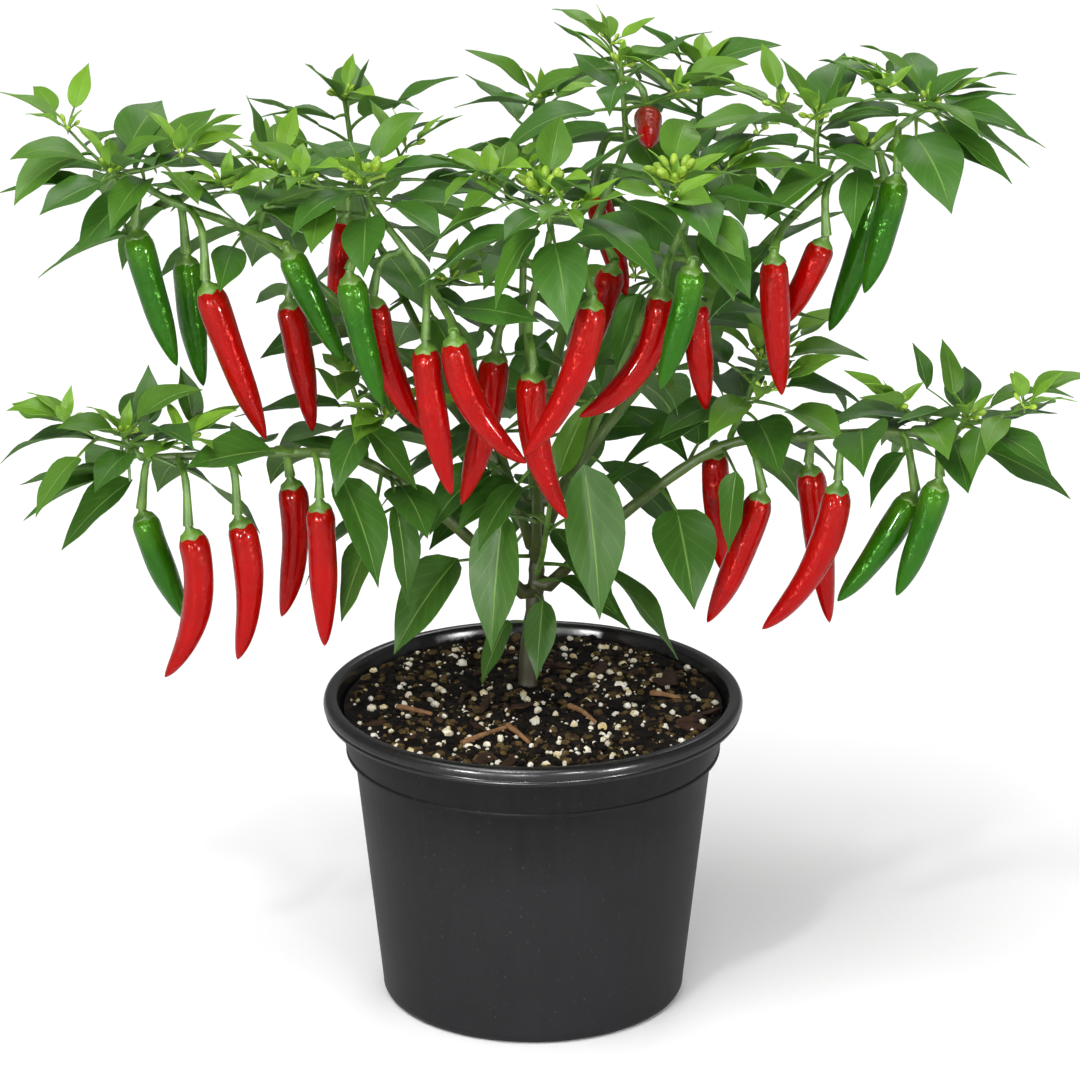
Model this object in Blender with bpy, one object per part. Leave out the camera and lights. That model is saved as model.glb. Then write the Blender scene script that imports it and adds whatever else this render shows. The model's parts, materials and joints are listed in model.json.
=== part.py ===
"""Potted chilli pepper plant: nursery pot, potting mix, stem, branches, leafy shoots and chillies.

Metres, +Z up. The origin is the middle of the pot's base, on the ground. +X is the plant's right
side, seen from its front, and +Y points to its back.
"""
import math

import bmesh
import bpy
from mathutils import Matrix, Vector
from mathutils.bvhtree import BVHTree

# Driving dimensions
CM = 0.01
GAP = 0.0003                    # clearance between pieces that touch

POT_HEIGHT = 0.155
RIM_RADIUS = 0.1025             # outside of the rolled rim
RIM_WIDTH = 0.007               # flat top of the rim
RIM_ROUND = 0.0015              # rounding of its outer edge
LIP_DEPTH = 0.008
LIP_UNDERCUT = 0.001
BAND_TOP_RADIUS = 0.0945        # band under the rim
BAND_FOOT_RADIUS = 0.0915
STEP_HEIGHT = 0.127             # where the band steps in to the wall
STEP_SLOPE = 0.0015             # height of that step outside
INNER_STEP_SLOPE = 0.006        # and inside
WALL_TOP_RADIUS = 0.0875
WALL_FOOT_RADIUS = 0.0745
FOOT_ROUND = 0.004
SHELL = 0.002
POT_SIDES = 32
DRAIN_HOLES = 6
DRAIN_RADIUS = 0.005
DRAIN_CIRCLE = 0.052

SOIL_HEIGHT = 0.149
SOIL_RINGS = 3
SOIL_EDGE = 0.002               # where the surface rounds off against the pot
SOIL_BUMP = 0.0006
SOIL_WAVES = 180                # bumps in the surface, as radians per metre
SOCKET_CLEARANCE = 0.001        # round the stem

STALK_RADIUS = 0.0017
POD_RADIUS = 0.0072
POD_FULL_LENGTH = 7.5           # cm; a shorter pod is thinner too
# Part of the pod's length and part of its full radius there, from shoulder to tip
POD_SHAPE = ((0.02, 0.80), (0.10, 1.0), (0.42, 0.97), (0.70, 0.78), (0.89, 0.46), (1.0, 0.13))
PETIOLE_LENGTH = 0.014
PETIOLE_RADIUS = 0.0009
LEAF_THICKNESS = 0.0012
LEAF_WIDTH_RATIO = 0.40         # blade width over blade length
LEAF_FOLD = 0.22                # how far the edges rise, over half the width
LEAF_DROOP = math.radians(42)   # bend along the blade
LEAF_ROLL = 0.35                # most a leaf turns about its own length, radians
LEAF_RISE_SWING = 0.15          # uneven rise from leaf to leaf, radians
LEAF_SIZE_SWING = 0.16          # uneven size from leaf to leaf
LEAF_TOP_SHRINK = 0.42          # how much smaller the youngest leaves are
# Part of the blade's length and part of its full width there, from petiole to tip
LEAF_SHAPE = ((0.0, 0.0), (0.25, 0.90), (0.60, 0.85), (1.0, 0.04))
GOLDEN_ANGLE = math.radians(137.5)
LOW_LEAF_ANGLE = math.radians(-28)
TOP_LEAF_ANGLE = math.radians(44)
TWIG_RADIUS = 0.0015
LEAF_CLEARANCE = 0.0005
# How a leaf may turn (swing and lift, radians) to clear its neighbours, in the order tried
LEAF_TURNS = ((0.0, 0.0), (0.35, 0.15), (-0.35, -0.15), (0.6, -0.3), (-0.6, 0.3))

# The growth plan. Places are in centimetres. "at" counts along a route's own points: 0 is its
# first point, 1 its second, and 2.5 is half-way from its third to its fourth.
# Main stem: foot and tip radius (mm), then its points from inside the mix to the top of the plant
STEM = (5.2, 1.7, [(-0.3, 2.5, 13.2), (-0.2, 2.4, 16.5), (0.1, 2.2, 19.5), (0.2, 2.0, 22.0),
                   (0.3, 2.2, 25.5), (0.8, 2.7, 30.0), (2.4, 3.4, 36.5), (4.4, 3.5, 42.0)])

# Branch: at (on the main stem), foot and tip radius (mm), points after the foot
BRANCHES = {
    "branch_lower_left": (2.2, 3.0, 1.7, [(-4.0, -0.5, 24.5), (-8.0, -2.5, 28.2), (-12.0, -4.0, 29.2),
                                          (-15.5, -4.5, 29.2), (-18.3, -4.2, 29.0)]),
    "branch_lower_right": (2.4, 3.0, 1.7, [(4.5, -0.5, 25.0), (9.0, -2.0, 28.8), (13.0, -3.5, 29.8),
                                           (16.5, -4.0, 30.2), (19.6, -4.0, 30.0)]),
    "branch_front": (3.0, 2.6, 1.6, [(0.2, -3.0, 29.5), (-0.2, -6.0, 36.0), (0.8, -7.8, 41.0)]),
    "branch_front_left": (3.2, 2.6, 1.6, [(-1.8, -1.4, 29.0), (-3.4, -4.5, 35.0), (-5.4, -6.0, 39.0),
                                          (-7.2, -5.6, 41.4)]),
    "branch_front_right": (3.4, 2.6, 1.6, [(3.0, -1.6, 30.0), (5.5, -4.8, 37.0), (7.2, -6.0, 41.4)]),
    "branch_upper_left": (3.7, 2.8, 1.6, [(-4.0, 2.5, 29.5), (-8.5, 0.5, 34.5), (-13.0, -2.0, 39.2),
                                          (-16.5, -3.5, 41.2), (-18.6, -3.2, 42.3)]),
    "branch_upper_right": (3.8, 2.8, 1.6, [(5.0, 1.6, 30.5), (10.0, -1.2, 37.5), (13.5, -3.5, 42.0),
                                           (17.3, -3.0, 45.0)]),
}

# Leafy shoot: parent and at, twig points after the foot, part of the twig where leaves begin,
# leaves, blade length, first leaf's bearing (degrees)
SHOOTS = {
    "shoot_far_left": ("branch_upper_left", 5.0, [(-19.7, -2.5, 42.5)], 0.05, 10, 5.4, 190),
    "shoot_left": ("branch_upper_left", 3.0, [(-12.6, -1.4, 40.4), (-12.0, -0.8, 42.0)],
                   0.15, 11, 5.2, 160),
    "shoot_lower_left": ("branch_lower_left", 5.0, [(-19.3, -3.8, 29.9)], 0.05, 10, 5.2, 200),
    "shoot_mid_left": ("branch_lower_left", 2.0, [(-8.2, -0.8, 29.9), (-8.8, 0.2, 31.6)],
                       0.15, 10, 5.6, 220),
    "shoot_back_left": ("main_stem", 3.3, [(-5.0, 6.0, 31.0), (-8.2, 8.5, 37.5), (-9.2, 9.0, 43.0)],
                        0.38, 15, 5.8, 100),
    "shoot_back": ("main_stem", 3.6, [(-0.5, 7.0, 31.0), (-0.3, 10.0, 37.5), (0.5, 10.5, 42.6)],
                   0.38, 15, 5.8, 60),
    "shoot_back_right": ("main_stem", 4.1, [(6.0, 6.5, 32.0), (7.8, 9.0, 38.5), (8.2, 9.0, 44.4)],
                         0.38, 15, 5.8, 70),
    "shoot_top": ("main_stem", 7.0, [(4.2, 3.5, 46.0)], 0.05, 11, 5.0, 20),
    "shoot_front_left": ("branch_front_left", 4.0, [(-7.8, -4.8, 42.6)], 0.05, 10, 5.2, 250),
    "shoot_front": ("branch_front", 3.0, [(0.6, -6.8, 42.6)], 0.05, 10, 5.2, 280),
    "shoot_front_right": ("branch_front_right", 3.0, [(6.6, -5.4, 42.8)], 0.05, 10, 5.2, 300),
    "shoot_right": ("branch_upper_right", 3.0, [(13.2, -2.6, 43.4), (13.3, -1.8, 44.8)],
                    0.15, 10, 5.2, 330),
    "shoot_far_right": ("branch_upper_right", 4.0, [(18.5, -2.6, 45.7)], 0.05, 10, 5.2, 350),
    "shoot_lower_right": ("branch_lower_right", 5.0, [(20.5, -3.8, 30.8)], 0.05, 10, 5.2, 340),
    "shoot_mid_right": ("branch_lower_right", 2.1, [(10.2, -0.8, 30.7), (10.9, 0.4, 32.4)],
                        0.15, 10, 5.6, 40),
    "shoot_low_front": ("main_stem", 2.7, [(0.5, -1.8, 23.5), (0.8, -4.0, 26.5)], 0.15, 10, 6.6, 270),
}

# Chilli: parent and at, how far its stalk arches to the right, to the front and down, pod length
# (cm), sway and curl towards the right (degrees), lean to the front (degrees)
RED_CHILLIES = {
    "red_chilli_01": ("branch_upper_left", 3.85, 1.0, 2.0, 3.3, 7.8, 16, 6, 0),
    "red_chilli_02": ("branch_upper_left", 2.6, -0.2, 0.8, 1.7, 6.4, 9, 0, 0),
    "red_chilli_03": ("shoot_back_left", 2.3, -0.4, 1.8, 1.8, 5.8, -8, 0, 0),
    "red_chilli_04": ("branch_front_left", 3.3, -1.4, 0.2, 2.6, 6.6, 5, 29, 0),
    "red_chilli_05": ("branch_front_left", 2.75, 0.0, 2.2, 2.6, 7.2, 3, 12, 0),
    "red_chilli_06": ("branch_front_left", 2.5, 0.8, 3.4, 1.0, 7.0, 4, 50, 0),
    "red_chilli_07": ("branch_front", 2.1, -1.6, -0.3, 2.1, 7.4, -5, -15, 0),
    "red_chilli_08": ("branch_front", 1.95, 0.2, 1.4, 1.7, 7.3, -6, 38, 0),
    "red_chilli_09": ("branch_front", 2.9, 2.0, 2.7, 2.1, 8.0, -6, -34, 0),
    "red_chilli_10": ("branch_front_right", 2.5, -0.4, 1.5, 1.5, 7.4, -2, -62, 0),
    "red_chilli_11": ("branch_front_right", 2.45, 1.3, -1.2, 2.6, 5.2, 4, 4, 0),
    "red_chilli_12": ("branch_upper_right", 2.6, -1.0, 3.4, 1.1, 6.6, 2, 4, 0),
    "red_chilli_13": ("branch_upper_right", 3.1, -0.4, 1.2, 2.7, 4.6, -20, -12, 0),
    "red_chilli_14": ("branch_lower_left", 4.4, 0.6, 2.0, 3.2, 7.6, 16, -54, 0),
    "red_chilli_15": ("branch_lower_left", 3.7, 0.7, 1.2, 3.0, 7.0, 14, -32, 0),
    "red_chilli_16": ("branch_lower_left", 3.0, 0.5, -1.4, 2.1, 6.8, 8, -26, 0),
    "red_chilli_17": ("branch_lower_left", 2.6, 0.4, 1.8, 2.1, 7.0, 3, -4, 0),
    "red_chilli_18": ("branch_lower_right", 1.9, 0.2, -2.2, 0.9, 6.0, 3, 2, 0),
    "red_chilli_19": ("branch_lower_right", 2.35, 0.3, 1.8, 2.3, 6.8, -14, -14, 0),
    "red_chilli_20": ("branch_lower_right", 3.0, 0.2, -1.2, 2.1, 7.8, 8, 0, 0),
    "red_chilli_21": ("branch_lower_right", 3.5, -0.5, 2.0, 2.1, 8.0, -4, -44, 0),
    "red_chilli_22": ("shoot_top", 0.85, 1.2, 1.0, 1.6, 4.4, 0, 0, 86),
    "red_chilli_23": ("main_stem", 6.3, 0.8, 3.6, 1.2, 6.2, -14, -12, 0),
    "red_chilli_24": ("shoot_top", 0.1, -1.4, -1.4, 3.2, 5.4, 16, 0, 0),
}
GREEN_CHILLIES = {
    "green_chilli_01": ("branch_upper_left", 4.7, -0.4, 0.8, 2.1, 6.6, 12, 6, 0),
    "green_chilli_02": ("branch_upper_left", 4.1, 0.5, -1.4, 3.3, 6.2, 2, 8, 0),
    "green_chilli_03": ("branch_upper_left", 3.15, 2.3, 2.2, 0.6, 5.7, 22, 6, 0),
    "green_chilli_04": ("branch_front_left", 3.75, -1.6, 2.4, 1.9, 6.2, 8, 10, 0),
    "green_chilli_05": ("branch_front_right", 2.8, 0.4, 3.2, 0.9, 5.9, -8, -12, 0),
    "green_chilli_06": ("branch_upper_right", 3.6, 0.6, -1.4, 2.1, 7.6, -14, -8, 0),
    "green_chilli_07": ("branch_upper_right", 3.9, -0.1, 1.4, 2.1, 5.6, -10, -8, 0),
    "green_chilli_08": ("branch_lower_left", 4.9, -0.4, 0.2, 2.9, 5.8, 14, 14, 0),
    "green_chilli_09": ("branch_lower_right", 4.3, 0.4, 0.8, 3.0, 6.2, -26, -14, 0),
    "green_chilli_10": ("branch_lower_right", 4.9, -0.3, 2.0, 1.8, 5.8, -14, -8, 0),
}

COLOURS = {
    "pot": ((0.040, 0.040, 0.041), 0.55),
    "potting_mix": ((0.020, 0.012, 0.008), 0.95),
    "stem": ((0.110, 0.150, 0.040), 0.60),
    "leaf": ((0.060, 0.220, 0.045), 0.50),
    "red_chilli": ((0.580, 0.006, 0.006), 0.20),
    "green_chilli": ((0.050, 0.190, 0.015), 0.25),
}


def clear_scene():
    for item in list(bpy.data.objects):
        bpy.data.objects.remove(item, do_unlink=True)


def material(name):
    """The named plain material, made once."""
    found = bpy.data.materials.get(name)
    if found:
        return found
    colour, roughness = COLOURS[name]
    made = bpy.data.materials.new(name)
    made.use_nodes = True
    shader = made.node_tree.nodes["Principled BSDF"]
    shader.inputs["Base Color"].default_value = (*colour, 1.0)
    shader.inputs["Roughness"].default_value = roughness
    shader.inputs["Metallic"].default_value = 0.0
    return made


def add_object(name, data, material_name):
    made = bpy.data.objects.new(name, data)
    bpy.context.collection.objects.link(made)
    data.materials.append(material(material_name))
    return made


def mesh_from(name, bm):
    bmesh.ops.recalc_face_normals(bm, faces=bm.faces)
    mesh = bpy.data.meshes.new(name)
    bm.to_mesh(mesh)
    bm.free()
    return mesh


def turned(name, outline):
    """A closed body spun round the Z axis from (radius, height) points that start and end on it."""
    bm = bmesh.new()
    verts = [bm.verts.new((radius, 0.0, height)) for radius, height in outline]
    edges = [bm.edges.new(pair) for pair in zip(verts, verts[1:])]
    bmesh.ops.spin(bm, geom=verts + edges, axis=(0, 0, 1), cent=(0, 0, 0),
                   angle=math.tau, steps=POT_SIDES, use_merge=False)
    bmesh.ops.remove_doubles(bm, verts=bm.verts, dist=0.00001)
    return mesh_from(name, bm)


def place_on(points, at):
    """The place at a count along a smooth curve through the points."""
    points = [points[0] * 2 - points[1]] + points + [points[-1] * 2 - points[-2]]
    index = min(int(at), len(points) - 4)
    t = at - index
    before, start, end, after = points[index:index + 4]
    return 0.5 * (2 * start + (end - before) * t + (2 * before - 5 * start + 4 * end - after) * t ** 2
                  + (3 * start - before - 3 * end + after) * t ** 3)


def radius_at(route, at):
    foot, tip, points = route
    return foot + (tip - foot) * at / (len(points) - 1)


def foot_on(parent, at, radius, towards):
    """Where a side piece of this radius starts: clear of the parent's skin, on the side it leaves by."""
    _, _, points = parent
    centre = place_on(points, at)
    end = len(points) - 1
    if at >= end:
        return centre + (centre - place_on(points, end - 0.1)).normalized() * (radius + 2 * GAP)
    along = (place_on(points, min(at + 0.1, end)) - place_on(points, max(at - 0.1, 0.0))).normalized()
    out = towards - centre
    out = (out - along * out.dot(along)).normalized()
    return centre + out * (radius_at(parent, at) + radius + GAP)


def metres(points):
    return [Vector(point) * CM for point in points]


def plan_routes():
    """Every stem's foot radius, tip radius and points, in metres, by name."""
    routes = {"main_stem": (STEM[0] / 1000, STEM[1] / 1000, metres(STEM[2]))}
    for name, (at, foot_mm, tip_mm, points) in BRANCHES.items():
        points = metres(points)
        start = foot_on(routes["main_stem"], at, foot_mm / 1000, points[0])
        routes[name] = (foot_mm / 1000, tip_mm / 1000, [start] + points)
    for name, (parent, at, points, *_) in SHOOTS.items():
        points = metres(points)
        foot = TWIG_RADIUS * (1.6 if len(points) > 2 else 1.1)
        start = foot_on(routes[parent], at, foot, points[0])
        routes[name] = (foot, TWIG_RADIUS * 0.8, [start] + points)
    return routes


def sampled(route, steps):
    """Points along a route and the radius at each."""
    _, _, points = route
    counts = [i / steps for i in range(steps * (len(points) - 1) + 1)]
    return [place_on(points, at) for at in counts], [radius_at(route, at) for at in counts]


def tube(name, route, radii, material_name, resolution=1):
    """A curve with filled caps through the route, with its own radius at each point."""
    curve = bpy.data.curves.new(name, "CURVE")
    curve.dimensions = "3D"
    curve.bevel_depth = 1.0
    curve.bevel_resolution = resolution
    curve.use_fill_caps = True
    spline = curve.splines.new("POLY")
    spline.points.add(len(route) - 1)
    for point, place, radius in zip(spline.points, route, radii):
        point.co = (*place, 1.0)
        point.radius = radius
    return add_object(name, curve, material_name)


def evaluated(item):
    """A bmesh of the object as the viewport shows it, with its caps welded on."""
    bpy.context.view_layer.update()
    graph = bpy.context.evaluated_depsgraph_get()
    shown = item.evaluated_get(graph)
    bm = bmesh.new()
    bm.from_mesh(shown.to_mesh())
    shown.to_mesh_clear()
    bm.transform(item.matrix_world)
    bmesh.ops.remove_doubles(bm, verts=bm.verts, dist=0.000001)
    bmesh.ops.recalc_face_normals(bm, faces=bm.faces)
    return bm


def tree_of(bm):
    return BVHTree.FromBMesh(bm)


def cut(item, cutter):
    cutter.hide_render = True
    cutter.display_type = "WIRE"
    boolean = item.modifiers.new(cutter.name, "BOOLEAN")
    boolean.operation = "DIFFERENCE"
    boolean.object = cutter


def cylinder_cutter(name, radius, bottom, top, x, y):
    bpy.ops.mesh.primitive_cylinder_add(vertices=12, radius=radius, depth=top - bottom,
                                        location=(x, y, (top + bottom) / 2))
    bpy.context.object.name = name
    return bpy.context.object


def inner_radius(height):
    """Radius of the pot's inside at a height."""
    if height >= STEP_HEIGHT:
        part = (height - STEP_HEIGHT) / (POT_HEIGHT - LIP_DEPTH - STEP_HEIGHT)
        return BAND_FOOT_RADIUS - SHELL + (BAND_TOP_RADIUS - BAND_FOOT_RADIUS) * min(part, 1.0)
    return WALL_FOOT_RADIUS - SHELL + (WALL_TOP_RADIUS - WALL_FOOT_RADIUS) * height / STEP_HEIGHT


def make_pot():
    lip_foot = POT_HEIGHT - LIP_DEPTH
    ledge = STEP_HEIGHT - INNER_STEP_SLOPE
    outline = [
        (0.0, 0.0), (WALL_FOOT_RADIUS - FOOT_ROUND, 0.0),
        (WALL_FOOT_RADIUS - FOOT_ROUND * 0.3, FOOT_ROUND * 0.3), (WALL_FOOT_RADIUS, FOOT_ROUND),
        (WALL_TOP_RADIUS, STEP_HEIGHT - STEP_SLOPE), (BAND_FOOT_RADIUS, STEP_HEIGHT),
        (BAND_TOP_RADIUS, lip_foot), (RIM_RADIUS - LIP_UNDERCUT, lip_foot - LIP_UNDERCUT),
        (RIM_RADIUS, POT_HEIGHT - 2 * RIM_ROUND), (RIM_RADIUS - RIM_ROUND, POT_HEIGHT),
        (RIM_RADIUS - RIM_WIDTH, POT_HEIGHT), (inner_radius(lip_foot), lip_foot),
        (inner_radius(STEP_HEIGHT), STEP_HEIGHT), (inner_radius(ledge), ledge),
        (inner_radius(FOOT_ROUND), FOOT_ROUND), (inner_radius(0) - SHELL, SHELL), (0.0, SHELL),
    ]
    pot = add_object("pot", turned("pot", outline), "pot")
    for index in range(DRAIN_HOLES):
        angle = math.tau * index / DRAIN_HOLES
        cut(pot, cylinder_cutter(f"drain_{index}", DRAIN_RADIUS, -CM, SHELL + CM,
                                 DRAIN_CIRCLE * math.cos(angle), DRAIN_CIRCLE * math.sin(angle)))
    return pot


def make_potting_mix():
    bottom = SHELL + GAP
    ledge = STEP_HEIGHT - INNER_STEP_SLOPE
    outline = [(0.0, bottom), (inner_radius(0) - SHELL - 3 * GAP, bottom),
               (inner_radius(FOOT_ROUND) - 2 * GAP, FOOT_ROUND + GAP),
               (inner_radius(ledge) - 2 * GAP, ledge),
               (inner_radius(STEP_HEIGHT) - 4 * GAP, STEP_HEIGHT + 2 * GAP),
               (inner_radius(SOIL_HEIGHT) - 2 * GAP, SOIL_HEIGHT - SOIL_EDGE)]
    edge = outline[-1][0] - SOIL_EDGE
    outline += [(edge * (SOIL_RINGS - ring) / SOIL_RINGS, SOIL_HEIGHT) for ring in range(SOIL_RINGS + 1)]
    mesh = turned("potting_mix", outline)
    for vert in mesh.vertices:
        if abs(vert.co.z - SOIL_HEIGHT) < GAP:
            vert.co.z += SOIL_BUMP * math.sin(SOIL_WAVES * vert.co.x) * math.cos(SOIL_WAVES * vert.co.y)
    mix = add_object("potting_mix", mesh, "potting_mix")
    x, y, stem_foot = Vector(STEM[2][0]) * CM
    cut(mix, cylinder_cutter("stem_socket", STEM[0] / 1000 + SOCKET_CLEARANCE, stem_foot - GAP,
                             SOIL_HEIGHT + CM, x, y))
    return mix


def chilli_route(plan, routes):
    """Spine and radii of a stalk that arches off its parent, its calyx and its pod."""
    parent, at, right, front, drop, length, sway, curl, lean = plan
    reach = Vector((right, -front, 0.0)) * CM
    fall = Vector((0.0, 0.0, -drop)) * CM
    centre = place_on(routes[parent][2], at)
    foot = foot_on(routes[parent], at, STALK_RADIUS, centre + reach)
    top = centre + reach + fall
    shoulder = foot.lerp(top, 0.5) + (reach - fall) * 0.22
    route = [foot, foot.lerp(shoulder, 0.55) - fall * 0.08, shoulder, top]
    radii = [STALK_RADIUS, STALK_RADIUS * 0.9, STALK_RADIUS, STALK_RADIUS * 1.4]
    girth = POD_RADIUS * (0.75 + 0.25 * min(length / POD_FULL_LENGTH, 1.0))
    place, before, front_angle = top, 0.0, math.radians(lean)
    for part, width in POD_SHAPE:
        bend = math.radians(sway + curl * (part + before) / 2)
        heading = Vector((math.sin(bend), -math.sin(front_angle) * math.cos(bend),
                          -math.cos(front_angle) * math.cos(bend)))
        place = place + heading * length * CM * (part - before)
        route.append(place)
        radii.append(girth * width)
        before = part
    return route, radii


def leaf_plans(name, route):
    """Where each leaf of a shoot starts, which way it points, its length and its roll."""
    _, _, _, begin, count, length, bearing = SHOOTS[name]
    end = len(route[2]) - 1
    for k in range(count):
        part = (k + 0.6) / count
        turn = math.radians(bearing) + GOLDEN_ANGLE * k
        rise = LOW_LEAF_ANGLE + (TOP_LEAF_ANGLE - LOW_LEAF_ANGLE) * part
        rise += LEAF_RISE_SWING * math.sin(2.3 * k)
        blade = length * CM * (1.0 + LEAF_SIZE_SWING * math.sin(1.7 * k + bearing))
        blade *= 1.0 - LEAF_TOP_SHRINK * part ** 2
        start = place_on(route[2], end * (begin + (1.0 - begin) * part))
        yield start, turn, rise, blade, LEAF_ROLL * math.sin(2.9 * k + 1.0)


def leaf_bmesh(start, turn, rise, blade, roll, thickness, with_petiole=True):
    """A folded, drooping blade on its petiole, with a four-sided section."""
    bm = bmesh.new()
    half_width = blade * LEAF_WIDTH_RATIO / 2
    place = start.copy()
    rings = []
    flat = Vector((math.cos(turn), math.sin(turn), 0.0))

    def ring(place, angle, half, thick, fold):
        heading = flat * math.cos(angle) + Vector((0, 0, math.sin(angle)))
        side = heading.cross(Vector((0, 0, 1)))
        side = side.normalized() if side.length > 0.01 else Vector((-flat.y, flat.x, 0))
        up = side.cross(heading).normalized()
        spin = Matrix.Rotation(roll, 3, heading)
        side, up = spin @ side, spin @ up
        return [place - side * half + up * fold, place - up * thick,
                place + side * half + up * fold, place + up * thick]

    if with_petiole:
        rings.append(ring(place, rise, PETIOLE_RADIUS, PETIOLE_RADIUS, 0.0))
    place = place + (flat * math.cos(rise) + Vector((0, 0, math.sin(rise)))) * PETIOLE_LENGTH
    before = 0.0
    for part, width in LEAF_SHAPE:
        heading_angle = rise - LEAF_DROOP * (part + before) / 2
        heading = flat * math.cos(heading_angle) + Vector((0, 0, math.sin(heading_angle)))
        place = place + heading * blade * (part - before)
        before = part
        half = max(half_width * width, PETIOLE_RADIUS * (1.0 if part < 0.5 else 0.5))
        thick = thickness / 2 if 0.0 < part < 1.0 else PETIOLE_RADIUS * (0.8 if part < 0.5 else 0.3)
        rings.append(ring(place, rise - LEAF_DROOP * part, half, thick, half * LEAF_FOLD * width))
    face = bm.faces.new([bm.verts.new(point) for point in rings[0]])
    loops = list(face.verts)
    for points in rings[1:]:
        new = [bm.verts.new(point) for point in points]
        for i in range(4):
            bm.faces.new((loops[i], loops[(i + 1) % 4], new[(i + 1) % 4], new[i]))
        loops = new
    bm.faces.new(loops)
    bmesh.ops.recalc_face_normals(bm, faces=bm.faces)
    return bm


def make_twig(name, route):
    """The shoot's own stem, as a mesh that its leaves are joined to."""
    curve = tube(name, *sampled(route, 2), "leaf")
    mesh = mesh_from(name, evaluated(curve))
    bpy.data.objects.remove(curve, do_unlink=True)
    return add_object(name, mesh, "leaf")


def grow_leaves(twig, route, others):
    """Join the shoot's leaves to its twig. A leaf that would meet another piece turns away from it,
    and isn't grown where no turn clears it."""
    twig_tree = tree_of(evaluated(twig))
    spaced = LEAF_THICKNESS + 2 * LEAF_CLEARANCE
    grown = []
    for index, (start, turn, rise, blade, roll) in enumerate(leaf_plans(twig.name, route)):
        for swing, lift in LEAF_TURNS:
            place = (start, turn + swing, rise + lift, blade, roll)
            whole = tree_of(leaf_bmesh(*place, spaced))
            only_blade = tree_of(leaf_bmesh(*place, spaced, with_petiole=False))
            if only_blade.overlap(twig_tree) or any(whole.overlap(tree) for tree in others + grown):
                continue
            grown.append(whole)
            leaf = add_object(f"{twig.name}_leaf_{index}",
                              mesh_from("leaf", leaf_bmesh(*place, LEAF_THICKNESS)), "leaf")
            leaf.hide_render = True
            leaf.display_type = "WIRE"
            union = twig.modifiers.new(leaf.name, "BOOLEAN")
            union.operation = "UNION"
            union.object = leaf
            break
    return grown


def main():
    clear_scene()
    routes = plan_routes()
    pieces = [make_pot(), make_potting_mix()]
    pieces += [tube(name, *sampled(routes[name], 2), "stem", 2) for name in ("main_stem", *BRANCHES)]
    for material_name, plans in (("red_chilli", RED_CHILLIES), ("green_chilli", GREEN_CHILLIES)):
        for name, plan in plans.items():
            pieces.append(tube(name, *chilli_route(plan, routes), material_name))
    trees = [tree_of(evaluated(piece)) for piece in pieces]
    twigs = {name: make_twig(name, routes[name]) for name in SHOOTS}
    twig_trees = {name: tree_of(evaluated(twig)) for name, twig in twigs.items()}
    for name, twig in twigs.items():
        other_twigs = [tree for other, tree in twig_trees.items() if other != name]
        trees += grow_leaves(twig, routes[name], trees + other_twigs)


main()
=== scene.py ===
"""Potted chilli pepper plant: the finished surfaces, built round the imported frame."""
import json
import math
import random
from collections import namedtuple

import bpy
from bpy.props import FloatProperty, FloatVectorProperty, IntProperty, PointerProperty
from mathutils import Matrix, Vector
from mathutils.bvhtree import BVHTree

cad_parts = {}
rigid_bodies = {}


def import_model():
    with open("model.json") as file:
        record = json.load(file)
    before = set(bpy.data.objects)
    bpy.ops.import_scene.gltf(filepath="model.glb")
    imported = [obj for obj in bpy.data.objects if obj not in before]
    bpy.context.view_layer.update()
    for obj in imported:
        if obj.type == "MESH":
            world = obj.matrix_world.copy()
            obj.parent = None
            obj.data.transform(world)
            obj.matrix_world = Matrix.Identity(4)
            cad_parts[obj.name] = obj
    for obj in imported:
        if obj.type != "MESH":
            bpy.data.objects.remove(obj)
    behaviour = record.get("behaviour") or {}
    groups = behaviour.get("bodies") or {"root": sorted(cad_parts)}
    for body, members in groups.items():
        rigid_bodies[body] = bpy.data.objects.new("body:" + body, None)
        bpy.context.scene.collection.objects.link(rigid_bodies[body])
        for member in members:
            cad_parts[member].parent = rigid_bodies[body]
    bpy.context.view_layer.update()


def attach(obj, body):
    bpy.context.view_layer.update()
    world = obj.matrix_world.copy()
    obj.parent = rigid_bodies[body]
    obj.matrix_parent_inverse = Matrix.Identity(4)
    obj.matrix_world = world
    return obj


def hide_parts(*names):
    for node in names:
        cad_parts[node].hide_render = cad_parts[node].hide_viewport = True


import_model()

bl_info = {
    "name": "Potted Chilli Plant",
    "version": (1, 0, 0),
    "blender": (4, 5, 0),
    "location": "3D View > Sidebar > Chilli Plant",
    "description": "Builds a potted chilli pepper plant with pot, potting mix, branches, leaves and pods",
    "category": "Add Mesh",
}

# Leaves straight on a stem: how many, blade length (cm), rise (degrees), from which part to which part
STEM_LEAVES = {
    "branch_lower_left": (13, 5.0, -4, 0.24, 1.0), "branch_lower_right": (13, 5.0, -4, 0.24, 1.0),
    "branch_upper_left": (14, 4.8, 4, 0.18, 1.0), "branch_upper_right": (13, 4.8, 4, 0.18, 1.0),
    "branch_front": (12, 4.8, -16, 0.10, 0.90), "branch_front_left": (13, 4.8, -14, 0.10, 0.90),
    "branch_front_right": (13, 4.8, -14, 0.10, 0.90), "main_stem": (18, 5.0, -26, 0.46, 0.98),
    "shoot_back_left": (8, 5.6, -18, 0.04, 0.42), "shoot_back": (8, 5.6, -18, 0.04, 0.42),
    "shoot_back_right": (8, 5.6, -18, 0.04, 0.42),
}
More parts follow.
